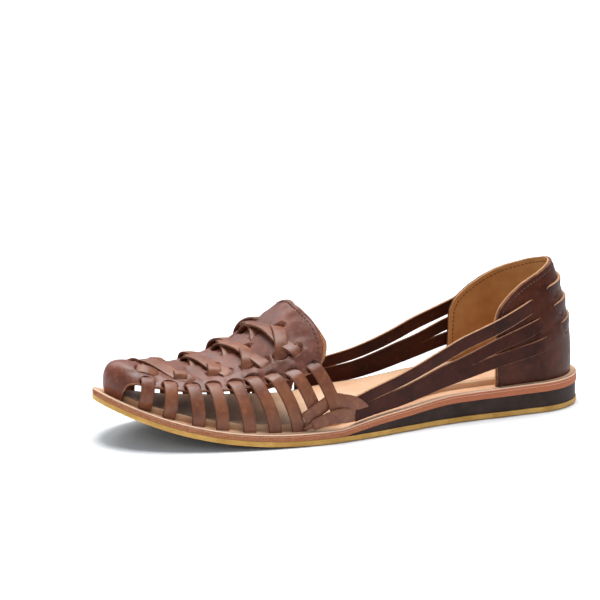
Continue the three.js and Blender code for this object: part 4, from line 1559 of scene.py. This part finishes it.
# ------------------------------------------------------------------ quarter straps
@dataclass(frozen=True)
class QuarterStrap:
    """One quarter strap: its heights at fixed marks, and where it meets its two slots."""

    plait: float
    ball: float
    waist: float
    middle: float
    front: float
    slot: float
    back: float
    heel: float
    slot_along: float
    back_along: float
    widths: tuple[float, float, float, float, float]


@dataclass
class Quarter:
    """The straps along the waist, their plait at the ball, and the straps round the heel."""

    wardrobe: Wardrobe
    marks: tuple[float, float, float, float, float] = (154.0, 126.0, 101.0, 86.0, 67.0)
    rest: float = 3.05
    heel_rest: float = 2.0
    hidden: float = 1.3
    cut: StrapCut = field(default_factory=lambda: StrapCut(7.0, 1.5, 0.35, 0.08))
    straps: tuple[QuarterStrap, ...] = (
        QuarterStrap(10.2, 14.2, 19.5, 24.6, 30.5, 38.5, 44.4, 47, 45.7, 31.8, (6.0, 6.3, 6.8, 7.0, 7.1)),
        QuarterStrap(6.4, 8.0, 11.9, 15.2, 21.5, 29.2, 35, 37, 41.6, 28.6, (3.9, 4.7, 5.8, 6.3, 6.9)),
        QuarterStrap(2.6, 3.5, 6.3, 9.1, 13.6, 19.5, 25, 27, 38.8, 25.6, (3.9, 4.7, 5.8, 6.1, 6.9)))

    def rows(self, side: Side, s: QuarterStrap) -> Rows:
        """Rows from the plait to the slot in the counter."""
        heights = (s.plait, s.ball, s.waist, s.middle, s.front)
        lifts = (2.6, 2.4, 2.4, 2.8, self.rest)
        rows = [(side.value * u, v, lift, wide) for u, v, lift, wide in
                zip(self.marks, heights, lifts, s.widths)]
        tip = (s.slot_along + 4.5, s.slot - 1.7, self.rest - 0.3, 7.0)
        tucked = (s.slot_along - 2.8, s.slot + 1.0, self.hidden, 6.9)
        return rows + [(side.value * row[0], *row[1:]) for row in (tip, tucked)]

    def heel_rows(self, s: QuarterStrap) -> Rows:
        """Rows of the length of strap that shows round the back of the heel."""
        half = [(s.back_along + 2.8, s.back - 0.9, self.hidden, 6.6),
                (s.back_along - 3.5, s.back + 0.3, 1.85, 6.7),
                (15.0, s.back + (s.heel - s.back) * 0.7, self.heel_rest, 6.8)]
        rows = [(-u, *rest) for u, *rest in half] + [(0.0, s.heel, self.heel_rest, 6.8)]
        return rows + half[::-1]

    def split_band(self, side: Side) -> MeshDraft:
        """The two lower straps, one band from the plait to the slit and two beyond it."""
        upper, lower = (StrapRun(LAST.wall, self.rows(side, s), self.cut) for s in self.straps[1:])
        t = np.concatenate([np.linspace(0, 0.56, 66), np.linspace(0.575, 0.97, 58), [0.985, 1.0]])
        slit = 62
        draft = MeshDraft()
        halves = [run.rows_at(t) for run in (upper, lower)]
        seam = (halves[0][:, 1] - halves[0][:, 3] / 2 + halves[1][:, 1] + halves[1][:, 3] / 2) / 2
        apart = smooth_step(slit, slit + 10, np.arange(len(t)))
        edges = [(halves[0][:, 1] + halves[0][:, 3] / 2, seam * (1 - apart)
                  + apart * (halves[0][:, 1] - halves[0][:, 3] / 2)),
                 (seam * (1 - apart) + apart * (halves[1][:, 1] + halves[1][:, 3] / 2),
                  halves[1][:, 1] - halves[1][:, 3] / 2)]
        share = near_edge(20, 2.2) / 20
        sheets = []
        for k, (top, bottom) in enumerate(edges):
            wide = np.maximum(top - bottom, 0.2)
            end = np.clip((t - 0.955) / 0.045, 0, 0.97)
            wide = wide * np.sqrt(1 - end ** 2)
            middle = (top + bottom) / 2
            place = middle[:, None] + wide[:, None] * (0.5 - share[None, :])
            free = wide[:, None] * share[None, :] if k == 0 else wide[:, None] * (1 - share[None, :])
            other = wide[:, None] - free
            cut_open = (np.arange(len(t)) > slit)[:, None]
            rim = np.where(cut_open, np.minimum(free, other), free)
            drop = rounding(rim, self.cut.corner)
            along = np.broadcast_to(halves[k][:, :1], place.shape)
            lift = halves[k][:, 2:3] + self.cut.thickness / 2 - drop
            wear_and_painted_light = smooth_step(0.5, 0.1, rim)
            sheets.append((LAST.wall(along, place, lift),
                           LAST.wall(along, place, lift - self.cut.thickness + 2 * drop), wear_and_painted_light))
        self.join_split(draft, sheets, slit)
        return draft

    def join_split(self, draft: MeshDraft, sheets: list, slit: int) -> None:
        """Join two sheets along the rows before the slit.

        Args:
            draft: the mesh that they join.
            sheets: outer grid, inner grid and wear of the upper and the lower strap.
            slit: the last row in which they are one.
        """
        rows, columns = sheets[0][0].shape[:2]
        count = rows * columns
        first = np.arange(count).reshape(rows, columns)
        second = count + first
        second[:slit + 1, 0] = first[:slit + 1, -1]
        total = 2 * count
        faces: list[tuple[int, ...]] = []
        slots: list[int] = []
        for index in (first, second):
            top = grid_faces(index)
            faces += top + [tuple(total + k for k in face[::-1]) for face in top]
            slots += [0] * len(top) + [0] * len(top)
        walls = [first[:, 0], first[slit:, -1][::-1], second[slit:, 0], second[:, -1][::-1]]
        walls += [np.concatenate([first[0], second[0, 1:]])[::-1], first[-1], second[-1]]
        for line in walls:
            faces += [(int(a), int(b), total + int(b), total + int(a)) for a, b in zip(line[:-1], line[1:])]
            slots += [1] * (len(line) - 1)
        outer = np.concatenate([sheet[0].reshape(-1, 3) for sheet in sheets])
        inner = np.concatenate([sheet[1].reshape(-1, 3) for sheet in sheets])
        wear_and_painted_light = np.concatenate([sheet[2].ravel() for sheet in sheets])
        points = np.concatenate([outer, inner])
        used = np.unique(np.array([k for face in faces for k in face]))
        number = np.full(len(points), -1)
        number[used] = np.arange(len(used))
        faces = [tuple(int(number[k]) for k in face) for face in faces]
        draft.add(points[used], faces, slots, np.concatenate([wear_and_painted_light, wear_and_painted_light])[used])

    def plait_rows(self, side: Side) -> list[Rows]:
        """Rows of the short lengths of strap plaited together beside the ball."""
        under = [(180.5, 6.2, 1.3, 6.0), (175.4, 9.2, 1.7, 6.6), (171, 11.7, 1.6, 6.8), (167, 13.8, 1.0, 6.5)]
        sliver = [(180.5, 0.8, 1.4, 2.0), (177, 3.4, 1.9, 2.4), (174, 5.4, 1.6, 2.2)]
        low = [(176.5, 2.9, 2.4, 5.4), (172.6, 4.4, 3.4, 6.0), (168.9, 5.6, 3.9, 6.2), (166, 6.4, 3.2, 6.0)]
        over = [(170, 6.0, 3.4, 5.4), (167, 6.4, 4.8, 6.4), (162.5, 6.6, 5.0, 7.4),
                (158.5, 5.8, 4.4, 7.4), (154.5, 4.3, 3.0, 6.6)]
        leaf = [(166.5, 14.8, 1.2, 6.4), (163, 13.9, 2.9, 7.4), (157.5, 11.7, 3.8, 7.8), (152, 9.3, 4.0, 5.4),
                (147.2, 7.0, 3.6, 0.9)]
        return [[(side.value * row[0], *row[1:]) for row in rows]
                for rows in (under, sliver, low, over, leaf)]

    def build(self) -> None:
        """Make the straps of each side, its plait, and the straps round the heel."""
        w = self.wardrobe
        for side in Side:
            label = side.name.lower()
            draft = self.split_band(side)
            top = self.rows(side, self.straps[0])
            StrapRun(LAST.wall, top, self.cut, start=Edge.SQUARE).add_to(draft)
            report(draft.build(f"quarter_straps_{label}", [w.quarter, w.quarter_edge]), "upper_leather")
            plait = MeshDraft()
            for rows in self.plait_rows(side):
                StrapRun(LAST.wall, rows, StrapCut(), Edge.SQUARE, Edge.SQUARE).add_to(plait)
            report(plait.build(f"plait_{label}", [w.strap, w.strap_edge]), "upper_leather")
        heel = MeshDraft()
        for strap in self.straps:
            StrapRun(LAST.wall, self.heel_rows(strap), self.cut).add_to(heel)
        report(heel.build("heel_straps", [w.quarter, w.quarter_edge]), "counter_leather")


# ------------------------------------------------------------------ heel counter
@dataclass
class HeelCounter:
    """The counter round the heel: outer leather, lining, and the seam along its edge."""

    wardrobe: Wardrobe
    quarter: Quarter
    front: float = 67.0
    outer_lift: float = 2.2
    lining_lift: float = 0.95
    pitch: float = 0.7
    seam_inset: float = 2.6
    grid_height: float = 56.0
    strap_widths: tuple[float, float] = (6.9, 6.7)
    slot_reach: float = 6.5
    slot_tunnel: float = 12.0
    collar_drop: float = 3.8
    drop_start: float = -8.0
    drop_end: float = 34.0
    edge: Profile = profile(
        (0, 58.6), (18, 58.3), (29, 56.9), (39, 54.5), (48, 51), (55, 47), (61, 42.5), (65, 38), (67, 33))

    def collar(self, along: np.ndarray) -> np.ndarray:
        """Height of the free upper edge, which lies lower on the medial side."""
        drop = smooth_step(self.drop_start, self.drop_end, along)
        return self.edge(np.abs(along)) - self.collar_drop * drop

    def outline(self, inset: float) -> np.ndarray:
        """The free border as (along, height), from the lateral foot over the collar, inset."""
        along = np.linspace(-self.front, self.front, 400)
        top = np.stack([along, self.collar(along)], -1)
        rise = np.linspace(0, 1, 60)
        left = np.stack([np.full(60, -self.front), 0.4 + (top[0, 1] - 0.4) * rise], -1)
        right = np.stack([np.full(60, self.front), top[-1, 1] + (0.4 - top[-1, 1]) * rise], -1)
        border = np.concatenate([left, top[1:-1], right])
        if inset == 0:
            return border
        run = unit(np.gradient(border, axis=0))
        moved = border + np.stack([run[:, 1], -run[:, 0]], -1) * inset
        nearest = np.array([np.linalg.norm(border - p, axis=1).min() for p in moved])
        return moved[nearest > inset * 0.93]

    def slots(self) -> list[Slot]:
        """The slots of the quarter straps and of the straps round the heel."""
        def leather(along: np.ndarray, height: np.ndarray, lift: np.ndarray) -> np.ndarray:
            return LAST.wall(along, height, lift + self.outer_lift)

        found = []
        for s in self.quarter.straps:
            for side in Side:
                front = (side.value * s.slot_along, s.slot)
                ahead = (side.value * (s.slot_along + 5), s.slot - 1.9)
                back = (side.value * s.back_along, s.back)
                round_heel = (side.value * (s.back_along - 5), s.back + 0.5)
                for places, width in zip(((front, ahead), (back, round_heel)), self.strap_widths):
                    found.append(slot_on(leather, *places, width, reach=self.slot_reach,
                                         tunnel=self.slot_tunnel))
        return found

    def grid(self) -> tuple[np.ndarray, np.ndarray, np.ndarray]:
        """Distances along, heights and distances from the free border over the counter."""
        along = near_edge(2 * self.front, self.pitch) - self.front
        share = near_edge(self.grid_height, self.pitch) / self.grid_height
        share = share[share > 0.01]
        top = self.collar(along)
        height = -0.5 + (top + 0.5)[:, None] * np.concatenate([[0], share])[None, :]
        along = np.broadcast_to(along[:, None], height.shape)
        border = self.outline(0)
        places = np.stack([along.ravel(), height.ravel()], -1)
        gaps = [np.linalg.norm(border - place, axis=1).min() for place in places]
        return along, height, np.array(gaps).reshape(height.shape)

    def sheet(self, outer: np.ndarray, inner: np.ndarray, wear_and_painted_light: np.ndarray, name: str,
              materials: Sequence[bpy.types.Material]) -> bpy.types.Object:
        """A sheet between two lifts over the counter's grid, as one piece."""
        draft = MeshDraft()
        SheetIsland(outer, inner, wear_and_painted_light).add_to(draft)
        return draft.build(name, materials)

    def build(self) -> None:
        """Make the outer leather, the lining and the two rows of stitches."""
        w = self.wardrobe
        along, height, rim = self.grid()
        base = LAST.wall(along, height, np.full(along.shape, self.outer_lift))
        sunk, raised = slot_field(self.slots(), base.reshape(-1, 3))
        sunk, raised = sunk.reshape(along.shape), raised.reshape(along.shape)
        seam = np.exp(-(((rim - self.seam_inset) / 0.5) ** 2))
        lift = self.outer_lift + raised * 0.5 * (1 - sunk) - 1.15 * sunk - 0.2 * seam
        soft = rounding(rim, 0.45)
        # Rubbed pale along the free border; painted shade darkens the slots and a painted highlight pales
        # their rims.
        wear_and_painted_light = smooth_step(0.9, 0.2, rim) - smooth_step(0.15, 0.8, sunk)
        wear_and_painted_light = wear_and_painted_light + smooth_step(0.02, 0.2, sunk) * smooth_step(0.6, 0.25, sunk)
        outer = LAST.wall(along, height, lift - soft)
        back = LAST.wall(along, height, self.lining_lift + 0.02 + 0.4 * soft)
        report(self.sheet(outer, back, wear_and_painted_light, "heel_counter_outer",
                          [w.counter, w.raw_back, w.counter_edge]), "counter_leather", "heel_counter")
        facing = LAST.wall(along, height, self.lining_lift - 0.5 * soft)
        inside = LAST.wall(along, height, 0.12 * seam + 0.9 * soft)
        report(self.sheet(facing, inside, np.zeros(along.shape), "counter_lining",
                          [w.lining, w.lining, w.lining_edge]), "lining")
        place = self.outline(self.seam_inset)[::2]
        stitch = StitchLine(pitch=2.2, length=1.75, width=0.7, rise=0.6)
        outward = outward_on(LAST.wall, place[:, 0], place[:, 1])
        over = LAST.wall(place[:, 0], place[:, 1], np.full(len(place), self.outer_lift - 0.02))
        report(stitch.sew("counter_stitches", over, outward, w.thread), "thread")
        inner = LAST.wall(place[:, 0], place[:, 1], np.full(len(place), 0.08))
        report(stitch.sew("lining_stitches", inner, -outward, w.tan_thread), "thread")


# ------------------------------------------------------------------ studio
@dataclass
class Studio:
    """A pale floor, soft overhead light and the camera."""

    azimuth: float = -24.3
    elevation: float = 11.9
    distance: float = 1.5
    target: tuple[float, float, float] = (-0.024, -0.00075, 0.0636)
    lens: float = 180.0

    def camera(self) -> None:
        """Set the camera towards the sandal."""
        a, e = math.radians(self.azimuth), math.radians(self.elevation)
        back = Vector((math.sin(a) * math.cos(e), -math.cos(a) * math.cos(e), math.sin(e)))
        data = bpy.data.cameras.new("camera")
        data.lens = self.lens
        data.sensor_width = 36.0
        data.clip_start, data.clip_end = 0.05, 40.0
        camera = bpy.data.objects.new("camera", data)
        bpy.context.scene.collection.objects.link(camera)
        camera.location = Vector(self.target) + back * self.distance
        camera.rotation_mode = "QUATERNION"
        camera.rotation_quaternion = (-back).to_track_quat("-Z", "Y")
        bpy.context.scene.camera = camera

    def floor(self) -> None:
        """A plain pale floor."""
        mesh = bpy.data.meshes.new("floor")
        r = 12.0
        mesh.from_pydata([(-r, -r, 0), (r, -r, 0), (r, r, 0), (-r, r, 0)], [], [(0, 1, 2, 3)])
        floor = bpy.data.objects.new("floor", mesh)
        bpy.context.scene.collection.objects.link(floor)
        g = Graph("pale floor")
        mesh.materials.append(g.finish(Base_Color=(0.92, 0.935, 0.95, 1), Roughness=0.6,
                                       Specular_IOR_Level=0.25))

    def lamp(self, name: str, place: tuple[float, float, float], size: float, power: float,
             aim: tuple[float, float, float] = (0.0, 0.0, 0.03)) -> None:
        """A square soft light aimed at the sandal.

        Args:
            name: its name.
            place: its place in metres.
            size: its side in metres.
            power: its power in watts.
            aim: what it points at, in metres.
        """
        data = bpy.data.lights.new(name, "AREA")
        data.shape = "SQUARE"
        data.size = size
        data.energy = power
        lamp = bpy.data.objects.new(name, data)
        bpy.context.scene.collection.objects.link(lamp)
        lamp.location = place
        lamp.rotation_mode = "QUATERNION"
        lamp.rotation_quaternion = (Vector(aim) - Vector(place)).to_track_quat("-Z", "Y")

    def build(self) -> None:
        """Set up camera, floor, lights and the pale surroundings."""
        self.camera()
        self.floor()
        self.lamp("overhead softbox", (0.15, 0.3, 2.2), 1.4, 68.0)
        self.lamp("front fill", (-1.6, -1.8, 1.2), 1.2, 7.0)
        self.lamp("back wash", (0.0, 3.4, 2.6), 3.0, 70.0, (0.0, 2.6, 0.0))
        world = bpy.data.worlds.new("surroundings")
        world.use_nodes = True
        background = world.node_tree.nodes["Background"]
        background.inputs["Color"].default_value = (0.8, 0.9, 1, 1)
        background.inputs["Strength"].default_value = 0.4
        bpy.context.scene.world = world
        bpy.context.scene.view_settings.view_transform = "Standard"


def main() -> None:
    """Build the sandal and the studio."""
    logging.basicConfig(level=logging.INFO, format="%(name)s %(message)s")
    Studio().build()
    wardrobe = Wardrobe()
    Sole(wardrobe).build()
    Vamp(wardrobe).build()
    quarter = Quarter(wardrobe)
    quarter.build()
    HeelCounter(wardrobe, quarter).build()


if __name__ == "__main__":
    main()
